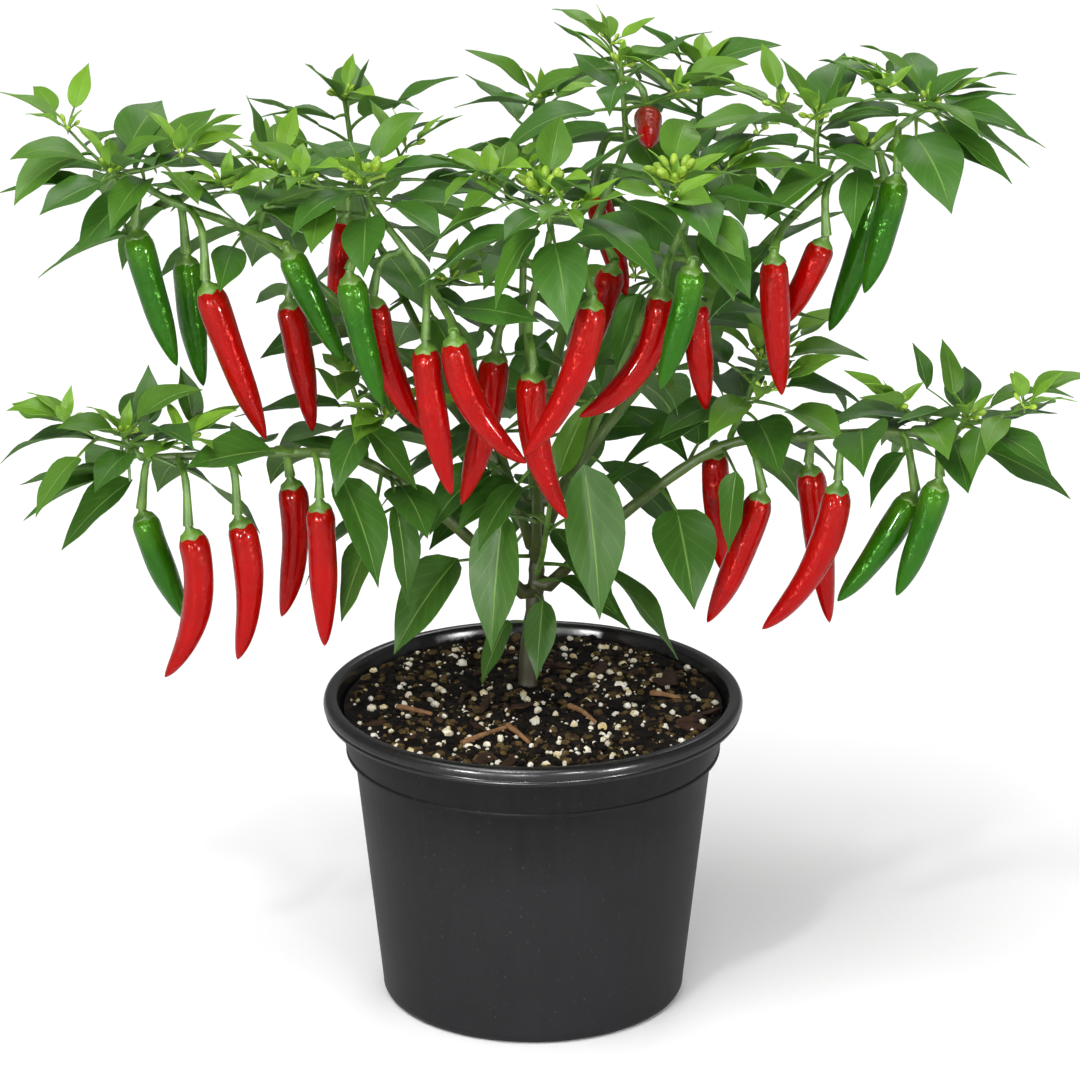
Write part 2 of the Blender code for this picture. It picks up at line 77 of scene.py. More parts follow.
# Single leaves that shape the outline: stem, part along it, and the blade's two ends (cm)
PLACED_LEAVES = (
    ("shoot_far_left", 1.0, (-20.2, -2.5, 41.6), (-24.8, -3.0, 41.4)),
    ("shoot_far_left", 0.8, (-18.8, -3.5, 39.7), (-22.9, -4.5, 37.8)),
    ("shoot_far_left", 1.0, (-18.6, -2.0, 42.3), (-17.2, -1.5, 44.5)),
    ("shoot_far_left", 0.9, (-17.9, -4.0, 41.4), (-20.6, -5.0, 40.4)),
    ("shoot_lower_left", 1.0, (-19.4, -4.0, 28.2), (-23.9, -5.0, 26.0)),
    ("shoot_lower_left", 0.9, (-18.9, -4.5, 28.0), (-22.1, -5.5, 24.8)),
    ("shoot_lower_left", 1.0, (-19.3, -3.5, 29.9), (-22.4, -3.5, 29.8)),
    ("shoot_lower_left", 1.0, (-18.2, -3.0, 30.2), (-18.2, -2.8, 33.0)),
    ("shoot_lower_left", 0.7, (-16.1, -3.0, 30.3), (-16.3, -2.8, 33.0)),
    ("shoot_left", 1.0, (-12.6, -1.0, 43.0), (-13.4, -0.6, 45.6)),
    ("shoot_back_left", 1.0, (-8.5, 9.0, 43.2), (-8.4, 9.0, 45.0)),
    ("shoot_back_left", 1.0, (-6.8, 8.5, 42.6), (-3.6, 8.0, 44.2)),
    ("shoot_back_left", 0.95, (-9.6, 8.0, 42.2), (-13.2, 7.0, 42.4)),
    ("shoot_back", 1.0, (1.2, 9.4, 43.2), (3.3, 9.0, 44.4)),
    ("shoot_back", 1.0, (0.2, 8.6, 42.7), (-3.8, 8.0, 42.6)),
    ("shoot_back_right", 0.9, (5.2, 8.4, 44.0), (3.3, 8.0, 46.3)),
    ("shoot_back_right", 1.0, (7.2, 8.4, 45.0), (5.0, 8.0, 46.9)),
    ("shoot_back_right", 1.0, (8.6, 8.6, 44.8), (12.0, 8.2, 45.7)),
    ("shoot_right", 1.0, (13.9, -2.0, 45.2), (14.4, -1.8, 47.4)),
    ("shoot_far_right", 0.6, (16.2, -2.4, 45.8), (16.1, -2.2, 47.6)),
    ("shoot_far_right", 1.0, (18.4, -3.0, 46.0), (20.6, -3.0, 47.5)),
    ("shoot_far_right", 1.0, (19.3, -3.0, 45.2), (23.6, -4.0, 43.9)),
    ("shoot_far_right", 0.9, (19.2, -3.8, 44.6), (22.0, -5.2, 42.6)),
    ("shoot_lower_right", 1.0, (20.9, -4.0, 29.5), (25.2, -5.0, 27.1)),
    ("shoot_lower_right", 0.9, (18.6, -3.0, 32.0), (18.0, -2.8, 34.2)),
    ("branch_lower_right", 0.40, (9.6, -5.0, 28.6), (9.3, -5.4, 24.8)),
    ("branch_lower_right", 0.34, (8.8, -4.6, 25.4), (10.9, -5.4, 20.4)),
    ("branch_lower_left", 0.34, (-6.5, -4.6, 26.9), (-6.0, -5.2, 22.1)),
    ("branch_lower_left", 0.42, (-8.0, -4.0, 30.6), (-5.6, -4.8, 27.6)),
    ("branch_lower_left", 0.36, (-7.6, -4.4, 25.2), (-9.0, -5.0, 21.1)),
    ("branch_front", 0.10, (-1.4, -4.4, 26.4), (-1.9, -5.4, 19.8)),
    ("branch_front_right", 0.16, (2.4, -4.0, 28.6), (3.1, -5.2, 21.4)),
    ("main_stem", 0.42, (-3.6, -1.6, 23.0), (-6.5, -4.0, 19.0)),
    ("main_stem", 0.30, (0.5, -0.8, 20.6), (0.2, -2.6, 17.2)),
    ("main_stem", 0.34, (1.2, -0.6, 21.6), (4.6, -2.6, 19.6)),
    ("main_stem", 0.40, (3.4, -0.8, 22.2), (6.8, -3.2, 18.4)),
    ("main_stem", 0.22, (-1.2, -0.4, 19.4), (-2.4, -2.2, 16.8)),
)
# A leaf's stem end, the foot of its blade, bearing and rise, length, roll, droop and how young it is
Leaf = namedtuple("Leaf", "start foot turn rise length roll droop age")

CM = 0.01
GAP = 0.0003
BODY = "root"
UP = Vector((0, 0, 1))
GOLDEN_ANGLE = math.radians(137.5)
LOW_LEAF_ANGLE = math.radians(-28)
TOP_LEAF_ANGLE = math.radians(44)
LEAF_DROOP = math.radians(42)
LEAF_ROLL = 0.35
LEAF_RISE_SWING = 0.15
LEAF_SIZE_SWING = 0.16
LEAF_TOP_SHRINK = 0.42
FULL_BLADE = 0.045
YOUNG_BLADE = 0.024
BLADE_STEPS = 16
# How a leaf that cuts a neighbour turns and lifts (radians), one try after the other
LEAF_TRIES = ((0, 0), (0.35, 0.15), (-0.35, -0.15), (0.6, -0.3), (-0.6, 0.3))
# A blade that hangs this close in front of a pod, over this part of its face, hides the pod
VEIL_REACH = 0.14
VEIL_SHARE = 0.12
VIEW_SLOPE = 0.36
STALK_RADIUS = 0.0017
POD_RADIUS = 0.0072
FULL_POD = 7.5
POD_RINGS = 30
SPINE_STEPS = 24
CALYX_LOBES = 5
PETIOLE_LENGTH = 0.014
TWIG_RADIUS = 0.0015
SPRIGS = 2
SPRIG_LEAVES = 5
# Buds at a tip: how many and how tall, in front of the plant, elsewhere and on a side sprig
FRONT_BUDS = (12, 0.0115)
TIP_BUDS = (6, 0.0068)
SPRIG_BUDS = (3, 0.0068)
SOIL_HEIGHT = 0.149
SOIL_RADIUS = 0.0925
SOIL_RINGS = 52
# Loose grains lie within this radius, and keep off the foot of the stem
GRAIN_REACH = 0.0900
STEM_CLEARING = (Vector((-0.003, 0.025)), 0.0075)
DRAIN_HOLES = 6
DRAIN_RADIUS = 0.005
DRAIN_CIRCLE = 0.052
# Small low lamps that draw the bright marks on the pods: place, width and power
SPARKS = {
    "left_spark": ((-1.0, -1.5, 0.42), 0.07, 7), "right_spark": ((1.15, -1.2, 0.36), 0.07, 5),
    "front_spark": ((-0.25, -2.0, 0.50), 0.05, 3.5), "high_spark": ((0.7, -1.7, 0.95), 0.06, 4),
    "top_spark": ((-0.5, -1.4, 1.9), 0.12, 7),
}
# Each spark's second lamp lights reflections only, and is this many times as strong
GLINT = 2.4

# The growth plan. Places are in centimetres. "at" counts along a route's own points: 0 is its
# first point, 1 its second, and 2.5 is half-way from its third to its fourth.
# Main stem: foot and tip radius (mm), then its points from inside the mix to the top of the plant
STEM = (5.2, 1.7, [(-0.3, 2.5, 13.2), (-0.2, 2.4, 16.5), (0.1, 2.2, 19.5), (0.2, 2.0, 22.0),
                   (0.3, 2.2, 25.5), (0.8, 2.7, 30.0), (2.4, 3.4, 36.5), (4.4, 3.5, 42.0)])

# Branch: at (on the main stem), foot and tip radius (mm), points after the foot
BRANCHES = {
    "branch_lower_left": (2.2, 3.0, 1.7, [(-4.0, -0.5, 24.5), (-8.0, -2.5, 28.2), (-12.0, -4.0, 29.2),
                                          (-15.5, -4.5, 29.2), (-18.3, -4.2, 29.0)]),
    "branch_lower_right": (2.4, 3.0, 1.7, [(4.5, -0.5, 25.0), (9.0, -2.0, 28.8), (13.0, -3.5, 29.8),
                                           (16.5, -4.0, 30.2), (19.6, -4.0, 30.0)]),
    "branch_front": (3.0, 2.6, 1.6, [(0.2, -3.0, 29.5), (-0.2, -6.0, 36.0), (0.8, -7.8, 41.0)]),
    "branch_front_left": (3.2, 2.6, 1.6, [(-1.8, -1.4, 29.0), (-3.4, -4.5, 35.0), (-5.4, -6.0, 39.0),
                                          (-7.2, -5.6, 41.4)]),
    "branch_front_right": (3.4, 2.6, 1.6, [(3.0, -1.6, 30.0), (5.5, -4.8, 37.0), (7.2, -6.0, 41.4)]),
    "branch_upper_left": (3.7, 2.8, 1.6, [(-4.0, 2.5, 29.5), (-8.5, 0.5, 34.5), (-13.0, -2.0, 39.2),
                                          (-16.5, -3.5, 41.2), (-18.6, -3.2, 42.3)]),
    "branch_upper_right": (3.8, 2.8, 1.6, [(5.0, 1.6, 30.5), (10.0, -1.2, 37.5), (13.5, -3.5, 42.0),
                                           (17.3, -3.0, 45.0)]),
}

# Leafy shoot: parent and at, twig points after the foot, part of the twig where leaves begin,
# leaves, blade length, first leaf's bearing (degrees)
SHOOTS = {
    "shoot_far_left": ("branch_upper_left", 5.0, [(-19.7, -2.5, 42.5)], 0.05, 10, 5.4, 190),
    "shoot_left": ("branch_upper_left", 3.0, [(-12.6, -1.4, 40.4), (-12.0, -0.8, 42.0)],
                   0.15, 11, 5.2, 160),
    "shoot_lower_left": ("branch_lower_left", 5.0, [(-19.3, -3.8, 29.9)], 0.05, 10, 5.2, 200),
    "shoot_mid_left": ("branch_lower_left", 2.0, [(-8.2, -0.8, 29.9), (-8.8, 0.2, 31.6)],
                       0.15, 10, 5.6, 220),
    "shoot_back_left": ("main_stem", 3.3, [(-5.0, 6.0, 31.0), (-8.2, 8.5, 37.5), (-9.2, 9.0, 43.0)],
                        0.38, 15, 5.8, 100),
    "shoot_back": ("main_stem", 3.6, [(-0.5, 7.0, 31.0), (-0.3, 10.0, 37.5), (0.5, 10.5, 42.6)],
                   0.38, 15, 5.8, 60),
    "shoot_back_right": ("main_stem", 4.1, [(6.0, 6.5, 32.0), (7.8, 9.0, 38.5), (8.2, 9.0, 44.4)],
                         0.38, 15, 5.8, 70),
    "shoot_top": ("main_stem", 7.0, [(4.2, 3.5, 46.0)], 0.05, 11, 5.0, 20),
    "shoot_front_left": ("branch_front_left", 4.0, [(-7.8, -4.8, 42.6)], 0.05, 10, 5.2, 250),
    "shoot_front": ("branch_front", 3.0, [(0.6, -6.8, 42.6)], 0.05, 10, 5.2, 280),
    "shoot_front_right": ("branch_front_right", 3.0, [(6.6, -5.4, 42.8)], 0.05, 10, 5.2, 300),
    "shoot_right": ("branch_upper_right", 3.0, [(13.2, -2.6, 43.4), (13.3, -1.8, 44.8)],
                    0.15, 10, 5.2, 330),
    "shoot_far_right": ("branch_upper_right", 4.0, [(18.5, -2.6, 45.7)], 0.05, 10, 5.2, 350),
    "shoot_lower_right": ("branch_lower_right", 5.0, [(20.5, -3.8, 30.8)], 0.05, 10, 5.2, 340),
    "shoot_mid_right": ("branch_lower_right", 2.1, [(10.2, -0.8, 30.7), (10.9, 0.4, 32.4)],
                        0.15, 10, 5.6, 40),
    "shoot_low_front": ("main_stem", 2.7, [(0.5, -1.8, 23.5), (0.8, -4.0, 26.5)], 0.15, 10, 6.6, 270),
}

# Chilli: parent and at, how far its stalk arches to the right, to the front and down, pod length
# (cm), sway and curl towards the right (degrees), lean to the front (degrees)
RED_CHILLIES = {
    "red_chilli_01": ("branch_upper_left", 3.85, 1.0, 2.0, 3.3, 7.8, 16, 6, 0),
    "red_chilli_02": ("branch_upper_left", 2.6, -0.2, 0.8, 1.7, 6.4, 9, 0, 0),
    "red_chilli_03": ("shoot_back_left", 2.3, -0.4, 1.8, 1.8, 5.8, -8, 0, 0),
    "red_chilli_04": ("branch_front_left", 3.3, -1.4, 0.2, 2.6, 6.6, 5, 29, 0),
    "red_chilli_05": ("branch_front_left", 2.75, 0.0, 2.2, 2.6, 7.2, 3, 12, 0),
    "red_chilli_06": ("branch_front_left", 2.5, 0.8, 3.4, 1.0, 7.0, 4, 50, 0),
    "red_chilli_07": ("branch_front", 2.1, -1.6, -0.3, 2.1, 7.4, -5, -15, 0),
    "red_chilli_08": ("branch_front", 1.95, 0.2, 1.4, 1.7, 7.3, -6, 38, 0),
    "red_chilli_09": ("branch_front", 2.9, 2.0, 2.7, 2.1, 8.0, -6, -34, 0),
    "red_chilli_10": ("branch_front_right", 2.5, -0.4, 1.5, 1.5, 7.4, -2, -62, 0),
    "red_chilli_11": ("branch_front_right", 2.45, 1.3, -1.2, 2.6, 5.2, 4, 4, 0),
    "red_chilli_12": ("branch_upper_right", 2.6, -1.0, 3.4, 1.1, 6.6, 2, 4, 0),
    "red_chilli_13": ("branch_upper_right", 3.1, -0.4, 1.2, 2.7, 4.6, -20, -12, 0),
    "red_chilli_14": ("branch_lower_left", 4.4, 0.6, 2.0, 3.2, 7.6, 16, -54, 0),
    "red_chilli_15": ("branch_lower_left", 3.7, 0.7, 1.2, 3.0, 7.0, 14, -32, 0),
    "red_chilli_16": ("branch_lower_left", 3.0, 0.5, -1.4, 2.1, 6.8, 8, -26, 0),
    "red_chilli_17": ("branch_lower_left", 2.6, 0.4, 1.8, 2.1, 7.0, 3, -4, 0),
    "red_chilli_18": ("branch_lower_right", 1.9, 0.2, -2.2, 0.9, 6.0, 3, 2, 0),
    "red_chilli_19": ("branch_lower_right", 2.35, 0.3, 1.8, 2.3, 6.8, -14, -14, 0),
    "red_chilli_20": ("branch_lower_right", 3.0, 0.2, -1.2, 2.1, 7.8, 8, 0, 0),
    "red_chilli_21": ("branch_lower_right", 3.5, -0.5, 2.0, 2.1, 8.0, -4, -44, 0),
    "red_chilli_22": ("shoot_top", 0.85, 1.2, 1.0, 1.6, 4.4, 0, 0, 86),
    "red_chilli_23": ("main_stem", 6.3, 0.8, 3.6, 1.2, 6.2, -14, -12, 0),
    "red_chilli_24": ("shoot_top", 0.1, -1.4, -1.4, 3.2, 5.4, 16, 0, 0),
}
GREEN_CHILLIES = {
    "green_chilli_01": ("branch_upper_left", 4.7, -0.4, 0.8, 2.1, 6.6, 12, 6, 0),
    "green_chilli_02": ("branch_upper_left", 4.1, 0.5, -1.4, 3.3, 6.2, 2, 8, 0),
    "green_chilli_03": ("branch_upper_left", 3.15, 2.3, 2.2, 0.6, 5.7, 22, 6, 0),
    "green_chilli_04": ("branch_front_left", 3.75, -1.6, 2.4, 1.9, 6.2, 8, 10, 0),
    "green_chilli_05": ("branch_front_right", 2.8, 0.4, 3.2, 0.9, 5.9, -8, -12, 0),
    "green_chilli_06": ("branch_upper_right", 3.6, 0.6, -1.4, 2.1, 7.6, -14, -8, 0),
    "green_chilli_07": ("branch_upper_right", 3.9, -0.1, 1.4, 2.1, 5.6, -10, -8, 0),
    "green_chilli_08": ("branch_lower_left", 4.9, -0.4, 0.2, 2.9, 5.8, 14, 14, 0),
    "green_chilli_09": ("branch_lower_right", 4.3, 0.4, 0.8, 3.0, 6.2, -26, -14, 0),
    "green_chilli_10": ("branch_lower_right", 4.9, -0.3, 2.0, 1.8, 5.8, -14, -8, 0),
}


# ---------------------------------------------------------------- growth

def metres(points):
    return [Vector(point) * CM for point in points]


def place_on(points, at):
    """The place at a count along a smooth curve through the points."""
    points = [points[0] * 2 - points[1]] + points + [points[-1] * 2 - points[-2]]
    index = min(int(at), len(points) - 4)
    t = at - index
    before, start, end, after = points[index:index + 4]
    return 0.5 * (2 * start + (end - before) * t + (2 * before - 5 * start + 4 * end - after) * t ** 2
                  + (3 * start - before - 3 * end + after) * t ** 3)


def radius_at(route, at):
    foot, tip, points = route
    return foot + (tip - foot) * at / (len(points) - 1)


def foot_on(parent, at, radius, towards):
    """Where a side piece of this radius starts on its parent, on the side it leaves by."""
    _, _, points = parent
    centre = place_on(points, at)
    end = len(points) - 1
    if at >= end:
        return centre + (centre - place_on(points, end - 0.1)).normalized() * (radius + 2 * GAP)
    along = (place_on(points, min(at + 0.1, end)) - place_on(points, max(at - 0.1, 0.0))).normalized()
    out = towards - centre
    out = (out - along * out.dot(along)).normalized()
    return centre + out * (radius_at(parent, at) + radius + GAP)


def plan_routes():
    """Every stem's foot radius, tip radius and points, in metres, by name, and what it grows from."""
    routes = {"main_stem": (STEM[0] / 1000, STEM[1] / 1000, metres(STEM[2]))}
    sources = {}
    for name, (at, foot_mm, tip_mm, points) in BRANCHES.items():
        points = metres(points)
        start = foot_on(routes["main_stem"], at, foot_mm / 1000, points[0])
        routes[name] = (foot_mm / 1000, tip_mm / 1000, [start] + points)
        sources[name] = place_on(routes["main_stem"][2], at)
    for name, (parent, at, points, *_) in SHOOTS.items():
        points = metres(points)
        foot = TWIG_RADIUS * (1.6 if len(points) > 2 else 1.1)
        start = foot_on(routes[parent], at, foot, points[0])
        routes[name] = (foot, TWIG_RADIUS * 0.8, [start] + points)
        sources[name] = place_on(routes[parent][2], at)
    return routes, sources


def sampled(route, steps):
    _, _, points = route
    counts = [i / steps for i in range(steps * (len(points) - 1) + 1)]
    return [place_on(points, at) for at in counts], [radius_at(route, at) for at in counts]


def chilli_places(plan, routes):
    """The stalk's places from inside its stem to the pod, then the pod's spine and its headings."""
    parent, at, right, front, drop, length, sway, curl, lean = plan
    reach = Vector((right, -front, 0.0)) * CM
    fall = Vector((0.0, 0.0, -drop)) * CM
    centre = place_on(routes[parent][2], at)
    foot = foot_on(routes[parent], at, STALK_RADIUS, centre + reach)
    top = centre + reach + fall
    shoulder = foot.lerp(top, 0.5) + (reach - fall) * 0.22
    knee = foot.lerp(shoulder, 0.55) - fall * 0.08
    spine = [top.copy()]
    headings = []
    front_angle = math.radians(lean)
    for i in range(SPINE_STEPS):
        bend = math.radians(sway + curl * (i + 0.5) / SPINE_STEPS)
        heading = Vector((math.sin(bend), -math.sin(front_angle) * math.cos(bend),
                          -math.cos(front_angle) * math.cos(bend)))
        headings.append(heading)
        spine.append(spine[-1] + heading * length * CM / SPINE_STEPS)
    headings.append(headings[-1])
    return [centre, foot, knee, shoulder, top], spine, headings


def blade_width(along):
    """Part of a blade's full width at a part of its length: widest at a third, with a drawn-out tip."""
    return 3.47 * along ** 0.66 * (1 - along) ** 1.05 * (1 - 0.5 * along ** 3)


def leaf_at(start, turn, rise, length, roll, age):
    """A leaf that leaves the stem here, with its own length of petiole and its own droop."""
    out = Vector((math.cos(turn) * math.cos(rise), math.sin(turn) * math.cos(rise), math.sin(rise)))
    petiole = PETIOLE_LENGTH * min(length / FULL_BLADE, 1.0) * (1 + 0.4 * math.sin(11 * turn))
    return Leaf(start, start + out * petiole, turn, rise, length, roll,
                LEAF_DROOP * (0.8 + 0.5 * math.sin(7 * turn + 3 * rise)), age)


def leaf_between(start, foot, tip, number):
    """A leaf whose blade runs from its foot to its tip, arching a little over the straight line."""
    way = tip - foot
    level = math.atan2(way.z, way.xy.length)
    droop = math.radians(34) * (1 - 0.75 * abs(level) / (math.pi / 2))
    return Leaf(start, foot, math.atan2(way.y, way.x), min(level + droop / 2, 1.35), way.length * 1.03,
                0.3 * math.sin(2.3 * number), droop, 0.04)


def leaf_plans(name, route):
    """The leaves of a shoot, from the oldest to the youngest."""
    _, _, _, begin, count, length, bearing = SHOOTS[name]
    end = len(route[2]) - 1
    for k in range(count):
        part = (k + 0.6) / count
        turn = math.radians(bearing) + GOLDEN_ANGLE * k
        rise = LOW_LEAF_ANGLE + (TOP_LEAF_ANGLE - LOW_LEAF_ANGLE) * part
        rise += LEAF_RISE_SWING * math.sin(2.3 * k)
        blade = length * CM * (1.0 + LEAF_SIZE_SWING * math.sin(1.7 * k + bearing))
        blade *= 1.0 - LEAF_TOP_SHRINK * part ** 2
        start = place_on(route[2], end * (begin + (1.0 - begin) * part))
        yield leaf_at(start, turn, rise, blade, LEAF_ROLL * math.sin(2.9 * k + 1.0), max(part - 0.7, 0.0))


# ---------------------------------------------------------------- working with bpy.ops

def deselect():
    if bpy.context.object and bpy.context.object.mode != "OBJECT":
        bpy.ops.object.mode_set(mode="OBJECT")
    bpy.ops.object.select_all(action="DESELECT")


def select_only(*items):
    deselect()
    for item in items:
        item.select_set(True)
    bpy.context.view_layer.objects.active = items[0]


def join(items, name):
    """One piece from several, with its own place, turn and size applied."""
    select_only(*items)
    if len(items) > 1:
        bpy.ops.object.join()
    joined = bpy.context.object
    joined.name = name
    joined.data.name = name
    bpy.ops.object.transform_apply(location=True, rotation=True, scale=True)
    return joined


def tidy_mesh(item, merge=0.00001):
    """Merge doubles and make every face point outwards."""
    select_only(item)
    bpy.ops.object.mode_set(mode="EDIT")
    bpy.ops.mesh.select_all(action="SELECT")
    bpy.ops.mesh.remove_doubles(threshold=merge)
    bpy.ops.mesh.normals_make_consistent(inside=False)
    bpy.ops.object.mode_set(mode="OBJECT")


def smooth(item, angle=40):
    select_only(item)
    bpy.ops.object.shade_smooth_by_angle(angle=math.radians(angle))


def apply_modifiers(item):
    select_only(item)
    for modifier in list(item.modifiers):
        bpy.ops.object.modifier_apply(modifier=modifier.name)


def give(item, *materials):
    item.data.materials.clear()
    for made in materials:
        item.data.materials.append(made)


def settle(item, slot, *nodes):
    """Ride a finished piece on the plant and hide the solids it stands for."""
    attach(item, BODY)
    if nodes:
        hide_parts(*nodes)


def copied(master, name):
    """A copy of a master piece with a mesh of its own."""
    made = bpy.data.objects.new(name, master.data.copy())
    bpy.context.collection.objects.link(made)
    return made


def ring_shell(name, sides, rings):
    """A closed shell: a circle is extruded and sized along (radius, height) rings."""
    deselect()
    radius, height = rings[0]
    bpy.ops.mesh.primitive_circle_add(vertices=sides, radius=radius, fill_type="NGON",
                                      location=(0, 0, height))
    item = bpy.context.object
    item.name = name
    bpy.ops.object.transform_apply(location=True, rotation=False, scale=False)
    bpy.ops.object.mode_set(mode="EDIT")
    bpy.ops.mesh.select_mode(type="EDGE")
    bpy.ops.mesh.select_all(action="SELECT")
    for new_radius, new_height in rings[1:]:
        bpy.ops.mesh.extrude_edges_move(TRANSFORM_OT_translate={"value": (0, 0, new_height - height)})
        factor = new_radius / radius
        bpy.ops.transform.resize(value=(factor, factor, 1), center_override=(0, 0, new_height))
        radius, height = new_radius, new_height
    bpy.ops.mesh.edge_face_add()
    bpy.ops.object.mode_set(mode="OBJECT")
    return item


def stem_tube(name, places, radii, sides=10):
    """A tapering tube along places, drawn as a beveled path and turned into a mesh."""
    deselect()
    bpy.ops.curve.primitive_nurbs_path_add()
    item = bpy.context.object
    item.name = name
    curve = item.data
    curve.splines.clear()
    spline = curve.splines.new("POLY")
    spline.points.add(len(places) - 1)
    for point, place, radius in zip(spline.points, places, radii):
        point.co = (*place, 1.0)
        point.radius = radius
    curve.bevel_depth = 1.0
    curve.bevel_resolution = max((sides - 4) // 2, 0)
    curve.use_fill_caps = True
    bpy.ops.object.convert(target="MESH")
    item = bpy.context.object
    tidy_mesh(item, 0.000005)
    return item


# ---------------------------------------------------------------- materials

def srgb(red, green, blue):
    """Scene colour of a 0 to 255 display colour."""
    def straight(value):
        value /= 255
        return value / 12.92 if value <= 0.04045 else ((value + 0.055) / 1.055) ** 2.4
    return (straight(red), straight(green), straight(blue), 1.0)


def darker(colour, part):
    """The colour with each channel at this part of its value."""
    return tuple(channel * part for channel in colour[:3]) + (1.0,)


def grain_group():
    """Noise for colour breakup and a fine height, used by every finish of the plant."""
    found = bpy.data.node_groups.get("grown_grain")
    if found:
        return found
    group = bpy.data.node_groups.new("grown_grain", "ShaderNodeTree")
    face = group.interface
    face.new_socket("Vector", in_out="INPUT", socket_type="NodeSocketVector")
    for label, value in (("Patch Scale", 40.0), ("Fine Scale", 400.0), ("Detail", 4.0)):
        made = face.new_socket(label, in_out="INPUT", socket_type="NodeSocketFloat")
        made.default_value = value
    face.new_socket("Patches", in_out="OUTPUT", socket_type="NodeSocketFloat")
    face.new_socket("Fine", in_out="OUTPUT", socket_type="NodeSocketFloat")
    enter = group.nodes.new("NodeGroupInput")
    leave = group.nodes.new("NodeGroupOutput")
    for output, scale in (("Patches", "Patch Scale"), ("Fine", "Fine Scale")):
        noise = group.nodes.new("ShaderNodeTexNoise")
        group.links.new(enter.outputs["Vector"], noise.inputs["Vector"])
        group.links.new(enter.outputs[scale], noise.inputs["Scale"])
        group.links.new(enter.outputs["Detail"], noise.inputs["Detail"])
        group.links.new(noise.outputs["Fac"], leave.inputs[output])
    return group


class Finish:
    """A material under construction, with short calls for the nodes it needs."""

    def __init__(self, name, roughness):
        self.material = bpy.data.materials.new(name)
        self.material.use_nodes = True
        self.nodes = self.material.node_tree.nodes
        self.links = self.material.node_tree.links
        self.shader = self.nodes["Principled BSDF"]
        self.shader.inputs["Roughness"].default_value = roughness
        self.place = self.nodes.new("ShaderNodeTexCoord").outputs["Object"]

    def set(self, **values):
        """Values of the shader's own sockets, with _ for each space in a label."""
        for label, value in values.items():
            self.shader.inputs[label.replace("_", " ")].default_value = value

    def grain(self, patch, fine, detail=4.0, vector=None):
        """Broad patches and a fine grain, by their scales."""
        node = self.nodes.new("ShaderNodeGroup")
        node.node_tree = grain_group()
        self.links.new(vector or self.place, node.inputs["Vector"])
        node.inputs["Patch Scale"].default_value = patch
        node.inputs["Fine Scale"].default_value = fine
        node.inputs["Detail"].default_value = detail
        return node.outputs["Patches"], node.outputs["Fine"]

    def stretched(self, scale):
        """The place on the piece, scaled along each axis."""
        node = self.nodes.new("ShaderNodeMapping")
        node.inputs["Scale"].default_value = scale
        self.links.new(self.place, node.inputs["Vector"])
        return node.outputs["Vector"]

    def ramp(self, value, stops):
        node = self.nodes.new("ShaderNodeValToRGB")
        elements = node.color_ramp.elements
        while len(elements) < len(stops):
            elements.new(0.5)
        for element, (position, colour) in zip(elements, stops):
            element.position = position
            element.color = colour
        self.links.new(value, node.inputs["Fac"])
        return node.outputs["Color"]

    def attribute(self, name):
        node = self.nodes.new("ShaderNodeAttribute")
        node.attribute_name = name
        return node.outputs["Fac"]

    def height(self, low, high):
        """0 below the lower height and 1 above the upper one, in metres."""
        split = self.nodes.new("ShaderNodeSeparateXYZ")
        self.links.new(self.place, split.inputs[0])
        node = self.nodes.new("ShaderNodeMapRange")
        node.inputs["From Min"].default_value = low
        node.inputs["From Max"].default_value = high
        self.links.new(split.outputs["Z"], node.inputs["Value"])
        return node.outputs["Result"]

    def maths(self, operation, first, second=None, clamp=False):
        node = self.nodes.new("ShaderNodeMath")
        node.operation = operation
        node.use_clamp = clamp
        for socket, value in zip(node.inputs, (first, second)):
            if isinstance(value, (int, float)):
                socket.default_value = value
            elif value is not None:
                self.links.new(value, socket)
        return node.outputs["Value"]

    def mix(self, factor, first, second):
        """The first colour at factor 0 and the second at 1."""
        node = self.nodes.new("ShaderNodeMix")
        node.data_type = "RGBA"
        sockets = (node.inputs[0], node.inputs[6], node.inputs[7])
        for socket, value in zip(sockets, (factor, first, second)):
            if isinstance(value, (int, float, tuple)):
                socket.default_value = value
            else:
                self.links.new(value, socket)
        return node.outputs[2]

    def colour(self, value):
        self.links.new(value, self.shader.inputs["Base Color"])

    def roughness(self, value):
        self.links.new(value, self.shader.inputs["Roughness"])

    def bump(self, height, distance, strength):
        node = self.nodes.new("ShaderNodeBump")
        node.inputs["Strength"].default_value = strength
        node.inputs["Distance"].default_value = distance
        self.links.new(height, node.inputs["Height"])
        self.links.new(node.outputs["Normal"], self.shader.inputs["Normal"])


